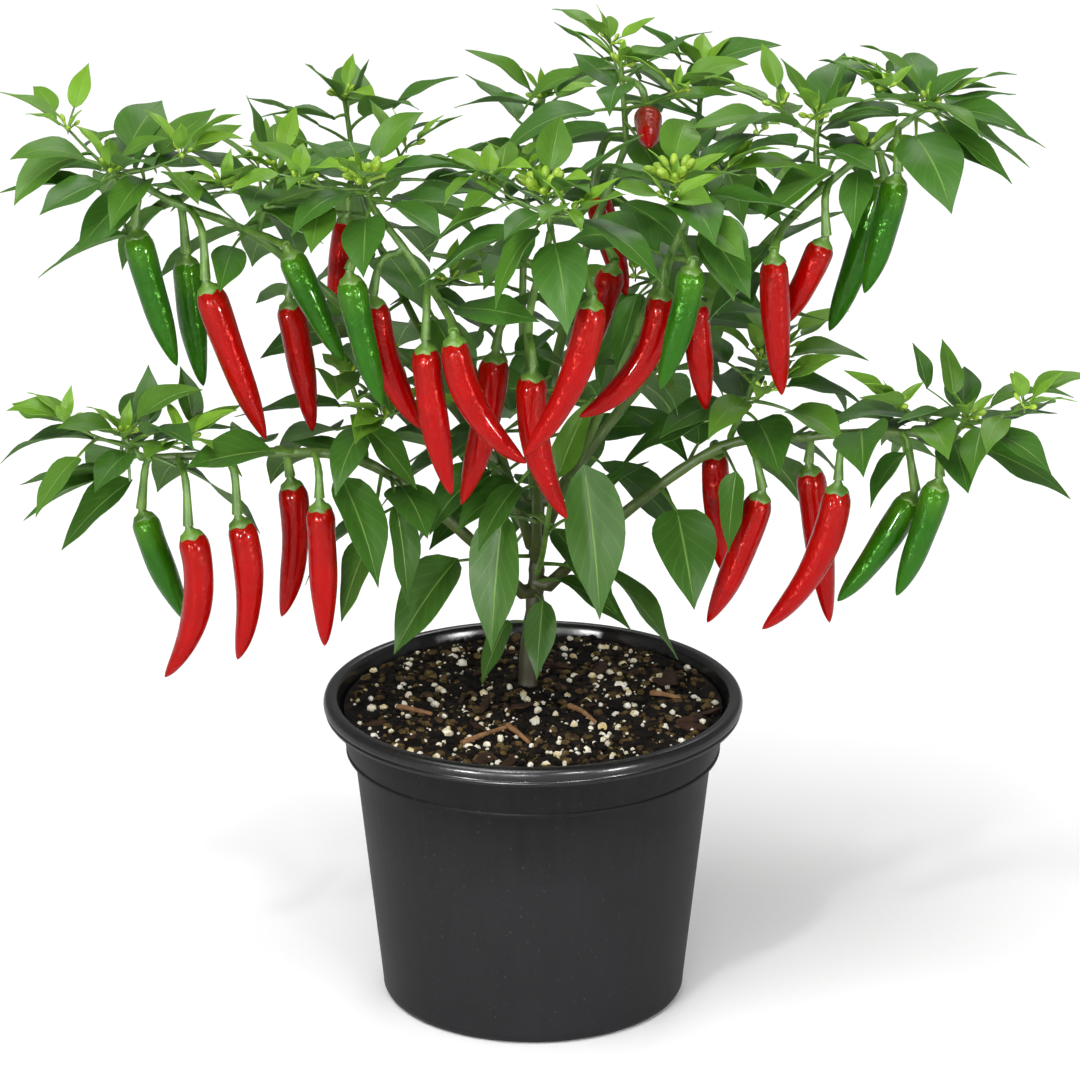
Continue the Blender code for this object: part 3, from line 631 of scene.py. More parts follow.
def pot_finish():
    """Recycled black plastic: painted shade under the rim, a glossy rim, streaks and pale specks."""
    finish = Finish("pot_plastic", 0.42)
    patches, fine = finish.grain(22.0, 620.0)
    streaks, _ = finish.grain(1.0, 60.0, 3.0, finish.stretched((260.0, 260.0, 14.0)))
    # Painted shade under the rim: darkest from 12.8 cm up, lighter below 8.5 cm, broken by patches.
    rim_shade = finish.maths("MULTIPLY", finish.height(0.128, 0.085), finish.maths("ADD", patches, 0.4))
    base = finish.ramp(rim_shade, [(0.0, srgb(13, 13, 14)), (0.9, srgb(31, 31, 33))])
    streaked = finish.mix(finish.maths("MULTIPLY", streaks, 0.40), base, srgb(40, 40, 42))
    speck = finish.ramp(fine, [(0.67, (0, 0, 0, 1)), (0.74, (1, 1, 1, 1))])
    finish.colour(finish.mix(finish.maths("MULTIPLY", speck, 0.22), streaked, srgb(110, 109, 106)))
    rim = finish.height(0.1455, 0.1475)
    dull = finish.maths("ADD", finish.maths("MULTIPLY", patches, 0.20), 0.30)
    finish.roughness(finish.maths("SUBTRACT", dull, finish.maths("MULTIPLY", rim, 0.14)))
    finish.links.new(finish.maths("ADD", finish.maths("MULTIPLY", rim, 0.34), 0.18),
                     finish.shader.inputs["Specular IOR Level"])
    finish.bump(finish.maths("ADD", streaks, fine), 0.00012, 0.5)
    return finish.material


def mix_finish(name, stops, rough=0.95):
    """Crumbly compost, perlite or bark, by its colours."""
    finish = Finish(name, rough)
    finish.set(Specular_IOR_Level=0.15)
    patches, fine = finish.grain(160.0, 900.0, 6.0)
    blend = finish.maths("ADD", finish.maths("MULTIPLY", patches, 0.65),
                         finish.maths("MULTIPLY", fine, 0.35))
    finish.colour(finish.ramp(blend, stops))
    finish.bump(blend, 0.0006, 0.9)
    return finish.material


def stem_finish():
    """Green bark, brown and ridged at the foot and fresh green towards the tips."""
    finish = Finish("green_bark", 0.5)
    patches, _ = finish.grain(1.0, 4.0, 4.0, finish.stretched((420.0, 420.0, 60.0)))
    age = finish.ramp(finish.height(0.15, 0.36), [(0.0, srgb(66, 56, 34)), (0.30, srgb(74, 82, 36)),
                                                  (1.0, srgb(98, 142, 50))])
    finish.colour(finish.mix(finish.maths("MULTIPLY", patches, 0.5), age, srgb(48, 54, 26)))
    finish.bump(patches, 0.0004, 0.6)
    return finish.material


def leaf_finish(name, young, mature, vein, under=False):
    """A leaf with a pale midrib, arched side veins, a waxy skin, its own age and painted shade low down."""
    finish = Finish(name, 0.6 if under else 0.42)
    finish.set(Subsurface_Weight=0.10, Subsurface_Radius=(0.4, 1.0, 0.2), Subsurface_Scale=0.0015,
               Specular_IOR_Level=0.24)
    uv = finish.nodes.new("ShaderNodeTexCoord").outputs["UV"]
    split = finish.nodes.new("ShaderNodeSeparateXYZ")
    finish.links.new(uv, split.inputs[0])
    along, across = split.outputs["X"], split.outputs["Y"]
    side = finish.maths("ABSOLUTE", finish.maths("SUBTRACT", across, 0.5))
    midrib = finish.maths("SUBTRACT", 1.0, finish.maths("MULTIPLY", side, 36.0), True)
    arched = finish.maths("SUBTRACT", finish.maths("MULTIPLY", along, 7.0),
                          finish.maths("MULTIPLY", finish.maths("POWER", side, 0.7), 4.2))
    wave = finish.maths("ABSOLUTE", finish.maths("SUBTRACT", finish.maths("FRACT", arched), 0.5))
    side_vein = finish.maths("SUBTRACT", 1.0, finish.maths("MULTIPLY", wave, 9.0), True)
    vein_mask = finish.maths("MAXIMUM", finish.maths("MULTIPLY", midrib, 0.70),
                             finish.maths("MULTIPLY", side_vein, 0.10))
    patches, fine = finish.grain(55.0, 1500.0)
    # Painted shade: leaves low on the plant are darker, reaching full colour between 20 and 38 cm up.
    grown = finish.mix(finish.height(0.20, 0.38), darker(mature, 0.62), mature)
    aged = finish.mix(finish.attribute("age"), grown, young)
    mottled = finish.mix(finish.maths("MULTIPLY", patches, 0.45), aged, srgb(44, 84, 22))
    finish.colour(finish.mix(vein_mask, mottled, vein))
    height = finish.maths("ADD" if under else "SUBTRACT", finish.maths("MULTIPLY", fine, 0.15), vein_mask)
    finish.bump(height, 0.0004, 0.7)
    return finish.material


def pod_finish(name, top, middle, tip, sheen):
    """A glossy, faintly wavy pod skin, shoulder to tip; the green pods' pale shoulder is painted light."""
    finish = Finish(name, 0.22)
    finish.set(Coat_Weight=0.34, Coat_Roughness=0.08, Subsurface_Weight=0.04, Specular_Tint=sheen,
               Subsurface_Radius=(1.0, 0.2, 0.1), Subsurface_Scale=0.002, Specular_IOR_Level=0.30)
    patches, fine = finish.grain(185.0, 520.0, 2.0)
    # Colour from shoulder to tip: on the green pods the pale shoulder is painted light from above.
    shoulder_to_tip = finish.ramp(finish.attribute("along"), [(0.0, top), (0.3, middle), (1.0, tip)])
    broad, _ = finish.grain(60.0, 200.0, 2.0)
    finish.colour(finish.mix(finish.maths("MULTIPLY", broad, 0.60), shoulder_to_tip, darker(middle, 0.45)))
    finish.bump(finish.maths("ADD", patches, finish.maths("MULTIPLY", fine, 0.25)), 0.0013, 0.8)
    return finish.material


def stalk_finish(name, dark, light):
    """Smooth green growth: stalks and petioles, or buds."""
    finish = Finish(name, 0.45)
    patches, fine = finish.grain(120.0, 700.0)
    finish.colour(finish.ramp(patches, [(0.3, dark), (0.75, light)]))
    finish.bump(fine, 0.0003, 0.6)
    return finish.material


FINISHES = {}


def all_finishes():
    """Every material by its short name, made once."""
    if FINISHES:
        return FINISHES
    FINISHES.update({
        "pot": pot_finish(),
        "compost": mix_finish("compost", [(0.38, srgb(5, 4, 3)), (0.52, srgb(18, 13, 9)),
                                          (0.70, srgb(58, 44, 26))]),
        "crumb": mix_finish("brown_crumb", [(0.36, srgb(36, 28, 16)), (0.5, srgb(80, 62, 36)),
                                            (0.64, srgb(116, 100, 52))]),
        "perlite": mix_finish("perlite", [(0.40, srgb(212, 190, 132)), (0.48, srgb(232, 224, 200)),
                                          (0.60, srgb(246, 243, 236))], 0.9),
        "bark": mix_finish("bark_chip", [(0.3, srgb(26, 18, 14)), (0.7, srgb(72, 48, 32))], 0.85),
        "twig": mix_finish("dry_twig", [(0.3, srgb(96, 66, 42)), (0.7, srgb(166, 124, 84))], 0.8),
        "stem": stem_finish(),
        "leaf": leaf_finish("leaf_face", srgb(134, 182, 44), srgb(66, 112, 34), srgb(134, 170, 84)),
        "leaf_under": leaf_finish("leaf_underside", srgb(136, 182, 62), srgb(86, 128, 54),
                                  srgb(146, 178, 98), True),
        "red": pod_finish("ripe_red_skin", srgb(158, 14, 4), srgb(168, 2, 2), srgb(162, 2, 2),
                          (1.0, 0.14, 0.10, 1.0)),
        # The first green is the pale shoulder, painted light from above.
        "green": pod_finish("unripe_green_skin", srgb(74, 128, 22), srgb(36, 94, 8), srgb(44, 102, 12),
                            (0.35, 1.0, 0.18, 1.0)),
        "stalk": stalk_finish("stalk_green", srgb(66, 106, 28), srgb(108, 148, 48)),
        "bud": stalk_finish("bud_green", srgb(134, 178, 36), srgb(178, 206, 66)),
    })
    return FINISHES


# ---------------------------------------------------------------- settings

class PotSettings(bpy.types.PropertyGroup):
    height: FloatProperty(name="Height", description="Ground to the top of the rim", default=0.155,
                          unit="LENGTH")
    rim_radius: FloatProperty(name="Rim Radius", description="Outside radius of the rolled rim",
                              default=0.1025, unit="LENGTH")
    shoulder_radius: FloatProperty(name="Shoulder Radius", description="Outside radius under the band",
                                   default=0.0875, unit="LENGTH")
    foot_radius: FloatProperty(name="Foot Radius", description="Outside radius above the rounded foot",
                               default=0.0745, unit="LENGTH")
    lip: FloatProperty(name="Lip", description="Height of the rolled rim", default=0.008, unit="LENGTH")
    band: FloatProperty(name="Band", description="Top of the rim to the foot of the band", default=0.028,
                        unit="LENGTH")
    wall: FloatProperty(name="Wall", description="Thickness of the moulded wall", default=0.002,
                        unit="LENGTH")
    sides: IntProperty(name="Sides", description="Faces round the pot", default=128)


class MixSettings(bpy.types.PropertyGroup):
    perlite: IntProperty(name="Perlite", description="White grains on the surface", default=520)
    crumbs: IntProperty(name="Crumbs", description="Loose dark crumbs on the surface", default=900)
    bark: IntProperty(name="Bark", description="Bark chips on the surface", default=34)
    roughness: FloatProperty(name="Unevenness", description="Height of the surface's lumps",
                             default=0.0052, unit="LENGTH")


class LeafSettings(bpy.types.PropertyGroup):
    width_ratio: FloatProperty(name="Width", description="Blade width over blade length", default=0.43)
    fold: FloatProperty(name="Fold", description="Rise of the edges over half the width", default=0.26)
    thickness: FloatProperty(name="Thickness", description="Blade thickness", default=0.00035,
                             unit="LENGTH")


class ChilliSettings(bpy.types.PropertyGroup):
    girth: FloatProperty(name="Girth", description="Radius of a full-grown pod", default=POD_RADIUS,
                         unit="LENGTH")
    sides: IntProperty(name="Sides", description="Faces round a pod", default=24)


class StageSettings(bpy.types.PropertyGroup):
    camera: FloatVectorProperty(name="Camera", description="Where the camera stands",
                                default=(0.0034, -2.329, 1.063), subtype="TRANSLATION")
    tilt: FloatProperty(name="Tilt", description="How far the camera looks down",
                        default=math.radians(19.6), subtype="ANGLE")
    lens: FloatProperty(name="Lens", description="Focal length on a 36 mm sensor, in millimetres",
                        default=170.4)
    floor: FloatVectorProperty(name="Floor", description="Colour of the floor",
                               default=(0.97, 0.97, 0.97), subtype="COLOR")
    floor_mirrored: FloatVectorProperty(name="Mirrored Floor", default=(0.50, 0.50, 0.50),
                                        description="The floor as reflections see it", subtype="COLOR")
    sun: FloatProperty(name="Sun", description="Strength of the broad light", default=2.05)
    sun_spread: FloatProperty(name="Sun Spread", description="How soft the broad light is",
                              default=math.radians(46), subtype="ANGLE")
    ambient: FloatProperty(name="Ambient", description="Light from all sides", default=0.41)
    ambient_mirrored: FloatProperty(name="Mirrored Ambient", default=0.25,
                                    description="The surroundings as reflections see them")


# ---------------------------------------------------------------- pieces

class CHILLI_OT_pot(bpy.types.Operator):
    """Mould the black nursery pot with its rolled rim, band and drain holes"""
    bl_idname = "chilli_plant.pot"
    bl_label = "Pot"

    def outside(self, size):
        """(Radius, height) rings from the rounded foot over the band to the inner edge of the rim."""
        rim, top, foot, shoulder = size.rim_radius, size.height, size.foot_radius, size.shoulder_radius
        lip = top - size.lip
        step = top - size.band
        foot_round = [(foot - 0.0040, 0.0), (foot - 0.0023, 0.0005), (foot - 0.0009, 0.0016),
                      (foot - 0.0001, 0.0032)]
        wall = [(foot + (shoulder - foot) * i / 8, 0.005 + (step - 0.0075) * i / 8) for i in range(9)]
        band = [(shoulder + 0.0003, step - 0.0018), (shoulder + 0.0030, step - 0.0012),
                (shoulder + 0.0039, step - 0.0008), (shoulder + 0.0042, step - 0.0002),
                (shoulder + 0.0041, step + 0.0006), (shoulder + 0.0036, step + 0.0011),
                (shoulder + 0.0045, step + 0.0040), (rim - 0.0082, lip - 0.0012)]
        bead = [(rim - 0.0076, lip - 0.0007), (rim - 0.0024, lip - 0.0010),
                (rim - 0.0014, lip - 0.0008), (rim - 0.0009, lip - 0.0001),
                (rim - 0.0008, lip + 0.0007), (rim - 0.0013, lip + 0.0013)]
        roll = [(rim - 0.0014, lip + 0.0017), (rim - 0.0006, lip + 0.0021), (rim - 0.0001, lip + 0.0028),
                (rim, lip + 0.0040), (rim - 0.0002, lip + 0.0054), (rim - 0.0007, top - 0.0013),
                (rim - 0.0015, top - 0.0005), (rim - 0.0026, top - 0.0001), (rim - 0.0045, top),
                (rim - 0.0060, top - 0.0004), (rim - 0.0068, top - 0.0013), (rim - 0.0072, top - 0.0028)]
        return foot_round + wall + band + bead + roll

    def inside(self, size):
        """(Radius, height) rings from under the rim down to the pot's floor."""
        lip = size.height - size.lip
        step = size.height - size.band
        foot, shoulder = size.foot_radius - size.wall, size.shoulder_radius
        return [(size.rim_radius - 0.0080, lip + 0.0020), (size.rim_radius - 0.0098, lip - 0.0010),
                (shoulder + 0.0020, step + 0.0005), (shoulder - size.wall, step - 0.0055),
                (foot, 0.006), (foot - 0.0040, size.wall)]

    def drain(self, pot, angle):
        """Cut one drain hole through the floor."""
        deselect()
        place = (DRAIN_CIRCLE * math.cos(angle), DRAIN_CIRCLE * math.sin(angle), 0)
        bpy.ops.mesh.primitive_cylinder_add(vertices=24, radius=DRAIN_RADIUS, depth=0.02, location=place)
        drill = bpy.context.object
        hole = pot.modifiers.new("drain_hole", "BOOLEAN")
        hole.operation = "DIFFERENCE"
        hole.object = drill
        apply_modifiers(pot)
        bpy.data.objects.remove(drill, do_unlink=True)

    def execute(self, context):
        size = context.scene.chilli_pot
        pot = ring_shell("pot_shell", size.sides, self.outside(size) + self.inside(size))
        for index in range(DRAIN_HOLES):
            self.drain(pot, math.tau * index / DRAIN_HOLES)
        tidy_mesh(pot)
        smooth(pot, 35)
        give(pot, all_finishes()["pot"])
        settle(pot, "pot", "pot")
        return {"FINISHED"}


class CHILLI_OT_potting_mix(bpy.types.Operator):
    """Fill the pot with crumbly compost, perlite, bark chips and dry twigs"""
    bl_idname = "chilli_plant.potting_mix"
    bl_label = "Potting Mix"

    def surface(self, roughness):
        """The compost's body, its top raised and lowered in lumps and crumbs."""
        edge = SOIL_RADIUS
        rings = [(0.0685, 0.0026), (0.0715, 0.0060), (0.0785, 0.0700), (0.0845, 0.1190), (0.0890, 0.1300),
                 (edge - 0.0008, 0.1420), (edge, SOIL_HEIGHT - 0.0005)]
        inner = [(edge * (1 - i / SOIL_RINGS), SOIL_HEIGHT) for i in range(1, SOIL_RINGS)]
        bed = ring_shell("compost_bed", 150, rings + inner)
        clouds = bpy.data.textures.new("lumps", "CLOUDS")
        clouds.noise_scale = 0.012
        clouds.noise_depth = 4
        crumbs = bpy.data.textures.new("crumbs", "CLOUDS")
        crumbs.noise_scale = 0.0035
        crumbs.noise_depth = 2
        tops = bed.vertex_groups.new(name="top")
        tops.add([v.index for v in bed.data.vertices if v.co.z > SOIL_HEIGHT - 0.0002
                  and v.co.xy.length < edge - 0.001], 1.0, "REPLACE")
        for texture, strength in ((clouds, roughness), (crumbs, roughness * 0.6)):
            lumps = bed.modifiers.new("lumps", "DISPLACE")
            lumps.texture = texture
            lumps.texture_coords = "LOCAL"
            lumps.direction = "Z"
            lumps.strength = strength
            lumps.mid_level = 0.5
            lumps.vertex_group = "top"
        apply_modifiers(bed)
        tidy_mesh(bed)
        smooth(bed, 60)
        return bed

    def scatter(self, master, name, count, seed, sizes, flat, lift):
        """Copies of one grain at seeded places on the surface, in one piece."""
        chance = random.Random(seed)
        stem_place, clearing = STEM_CLEARING
        tree = BVHTree.FromObject(self.bed, bpy.context.evaluated_depsgraph_get())
        grains = []
        for index in range(count):
            radius = GRAIN_REACH * math.sqrt(chance.random())
            angle = chance.uniform(0, math.tau)
            x, y = radius * math.cos(angle), radius * math.sin(angle)
            if (Vector((x, y)) - stem_place).length < clearing:
                continue
            hit = tree.ray_cast(Vector((x, y, 0.2)), -UP)[0]
            size = sizes[0] + (sizes[1] - sizes[0]) * chance.random() ** 2.2
            grain = copied(master, f"{name}_{index}")
            turn = Matrix.Rotation(chance.uniform(0, math.tau), 4, "Z")
            tip = Matrix.Rotation(chance.uniform(-0.5, 0.5), 4, "X")
            stretch = 1.6 if name == "bark_chips" else 1.0
            shape = Matrix.Diagonal((stretch * chance.uniform(0.7, 1.25),
                                     chance.uniform(0.6, 1.1) / stretch,
                                     flat * chance.uniform(0.7, 1.1), 1))
            grain.data.transform(Matrix.Translation(hit + Vector((0, 0, size * lift)))
                                 @ turn @ tip @ shape @ Matrix.Scale(size, 4))
            grains.append(grain)
        bpy.data.objects.remove(master, do_unlink=True)
        return join(grains, name)

    def lump(self, name, seed, roughness):
        """One rough grain of unit radius."""
        deselect()
        bpy.ops.mesh.primitive_ico_sphere_add(subdivisions=1, radius=1.0)
        grain = bpy.context.object
        grain.name = name
        chance = random.Random(seed)
        for vertex in grain.data.vertices:
            vertex.co *= 1.0 + chance.uniform(-roughness, roughness)
        return grain

    def dry_twigs(self):
        """Loose twigs on the surface, two of them in a V in front."""
        lines = [[(-0.034, -0.058, 0.1512), (-0.024, -0.050, 0.1524), (-0.013, -0.042, 0.1530)],
                 [(-0.012, -0.040, 0.1530), (-0.007, -0.048, 0.1524), (-0.002, -0.057, 0.1512)],
                 [(0.018, -0.010, 0.1514), (0.024, -0.020, 0.1526), (0.030, -0.031, 0.1514)],
                 [(0.058, 0.008, 0.1512), (0.064, 0.004, 0.1522), (0.072, 0.001, 0.1512)],
                 [(-0.066, -0.010, 0.1512), (-0.058, -0.016, 0.1520), (-0.049, -0.020, 0.1512)]]
        twigs = []
        for index, line in enumerate(lines):
            points = [Vector(point) for point in line]
            places = [place_on(points, i / 5) for i in range(11)]
            radii = [0.0013 * (1.1 - 0.04 * i) * (1 + 0.12 * math.sin(3.1 * i + index))
                     for i in range(11)]
            twigs.append(stem_tube(f"dry_twig_{index}", places, radii, 8))
        return join(twigs, "dry_twigs")

    def execute(self, context):
        size = context.scene.chilli_mix
        finishes = all_finishes()
        self.bed = self.surface(size.roughness)
        give(self.bed, finishes["compost"])
        settle(self.bed, "potting_mix", "potting_mix")
        # Grains: how many, seed, smallest and largest radius, flatness, lift, unevenness, finish
        groups = {"crumbs": (size.crumbs, 11, (0.0007, 0.0034), 0.75, 0.15, 0.28, "compost"),
                  "brown_crumbs": (size.crumbs, 17, (0.0007, 0.0032), 0.65, 0.20, 0.30, "crumb"),
                  "perlite": (size.perlite, 23, (0.0006, 0.0028), 0.80, 0.35, 0.26, "perlite"),
                  "bark_chips": (size.bark, 37, (0.0022, 0.0072), 0.22, 0.30, 0.30, "bark")}
        for name, (count, seed, sizes, flat, lift, uneven, finish) in groups.items():
            grain = self.lump(f"{name}_grain", seed, uneven)
            grains = self.scatter(grain, name, count, seed, sizes, flat, lift)
            smooth(grains, 35)
            give(grains, finishes[finish])
            settle(grains, "potting_mix")
        twigs = self.dry_twigs()
        smooth(twigs)
        give(twigs, finishes["twig"])
        settle(twigs, "potting_mix")
        return {"FINISHED"}


class CHILLI_OT_branches(bpy.types.Operator):
    """Grow the main stem and its branches, each joined into its parent with a swollen foot"""
    bl_idname = "chilli_plant.branches"
    bl_label = "Branches"

    def execute(self, context):
        routes, sources = plan_routes()
        steps = 9
        for name in ("main_stem", *BRANCHES):
            places, radii = sampled(routes[name], steps)
            radii = [radius * (1 + 0.06 * math.sin(1.9 * i) + 0.10 * (i % steps == 0))
                     for i, radius in enumerate(radii)]
            if name in sources:
                places.insert(0, sources[name])
                radii.insert(0, radii[0] * 1.25)
                radii[1] *= 1.12
            branch = stem_tube(f"{name}_bark", places, radii, 14)
            smooth(branch, 60)
            give(branch, all_finishes()["stem"])
            settle(branch, "stem", name)
        return {"FINISHED"}


class CHILLI_OT_chillies(bpy.types.Operator):
    """Hang the red and green chillies, each with its pod, calyx and arching stalk"""
    bl_idname = "chilli_plant.chillies"
    bl_label = "Chillies"

    def pod_master(self, sides):
        """A straight pod of unit length and girth, its shoulder up and its tip down."""
        rings = []
        for i in range(POD_RINGS + 1):
            part = math.sin(i / POD_RINGS * math.pi / 2) ** 1.5
            shoulder = 0.70 + 0.30 * math.sin(min(part / 0.09, 1.0) * math.pi / 2)
            rings.append((max(shoulder * (1 - part ** 3.2) ** 0.66, 0.03), -part))
        return ring_shell("pod_master", sides, rings)

    def calyx_master(self):
        """A scalloped cap of unit radius that narrows up to the stalk."""
        rings = [(0.26, 1.05), (0.30, 0.80), (0.42, 0.52), (0.66, 0.26), (0.90, 0.06), (1.0, -0.16),
                 (0.97, -0.22), (0.80, -0.10), (0.40, 0.05)]
        calyx = ring_shell("calyx_master", 20, rings)
        for vertex in calyx.data.vertices:
            spread = vertex.co.xy.length
            angle = math.atan2(vertex.co.y, vertex.co.x)
            vertex.co.z -= 0.13 * max(spread - 0.6, 0.0) / 0.4 * math.cos(CALYX_LOBES * angle)
            vertex.co.xy *= 1 + 0.05 * math.cos(CALYX_LOBES * angle)
        return calyx

    def axes(self, heading):
        """Two directions across a heading."""
        across = heading.cross(Vector((0, 1, 0))).normalized()
        return across, across.cross(heading).normalized()

    def bent_pod(self, name, spine, headings, girth, number):
        """A pod bent along its spine, with soft lobes of its own."""
        last = len(spine) - 1
        pod = copied(self.pod, f"{name}_pod")
        along = pod.data.attributes.new("along", "FLOAT", "POINT")
        for index, vertex in enumerate(pod.data.vertices):
            part = min(max(-vertex.co.z, 0.0), 1.0)
            cell = min(int(part * last), last - 1)
            step = part * last - cell
            place = spine[cell].lerp(spine[cell + 1], step)
            heading = headings[cell].lerp(headings[min(cell + 1, last)], step).normalized()
            across, other = self.axes(heading)
            angle = math.atan2(vertex.co.y, vertex.co.x)
            lobes = 1 + 0.030 * math.sin(3 * angle + number)
            lobes += 0.020 * math.sin(2 * angle + 5 * part + number)
            waist = 1 + 0.030 * math.sin(11 * part + 2.1 * number)
            offset = (across * vertex.co.x + other * vertex.co.y) * girth * lobes * waist
            vertex.co = place + offset
            along.data[index].value = part
        return pod

    def stalk(self, name, places, heading):
        """The arching stalk, which thickens into the calyx."""
        centre, foot, knee, shoulder, top = places
        points = [foot, knee, shoulder, top - heading * 0.0045]
        line = [centre] + [place_on(points, i / 5) for i in range(16)]
        radii = [0.0015] + [0.0015 + 0.00004 * i + 0.0001 * math.cos(2 * i) for i in range(13)]
        radii += [0.0022, 0.0024, 0.0026]
        return stem_tube(f"{name}_stalk", line, radii, 12)

    def hang(self, name, plan, routes, full_girth, number):
        """One chilli: its pod, its calyx and its stalk, as one piece."""
        stalk_places, spine, headings = chilli_places(plan, routes)
        girth = full_girth * (0.75 + 0.25 * min(plan[5] / FULL_POD, 1.0))
        pod = self.bent_pod(name, spine, headings, girth, number)
        heading = headings[0]
        turned = Matrix((*self.axes(heading), -heading)).transposed().to_4x4()
        calyx = copied(self.calyx, f"{name}_calyx")
        calyx.data.transform(Matrix.Translation(spine[0]) @ turned
                             @ Matrix.Diagonal((girth * 0.80, girth * 0.80, 0.0050, 1)))
        stalk = self.stalk(name, stalk_places, heading)
        finishes = all_finishes()
        colour = name.split("_")[0]
        give(pod, finishes[colour])
        give(calyx, finishes["stalk"])
        give(stalk, finishes["stalk"])
        chilli = join([pod, calyx, stalk], f"{name}_fruit")
        tidy_mesh(chilli, 0.000002)
        smooth(chilli, 60)
        settle(chilli, f"{colour}_chilli", name)

    def execute(self, context):
        size = context.scene.chilli_pods
        routes, _ = plan_routes()
        self.pod = self.pod_master(size.sides)
        self.calyx = self.calyx_master()
        for number, (name, plan) in enumerate({**RED_CHILLIES, **GREEN_CHILLIES}.items()):
            self.hang(name, plan, routes, size.girth, number)
        for master in (self.pod, self.calyx):
            bpy.data.objects.remove(master, do_unlink=True)
        return {"FINISHED"}


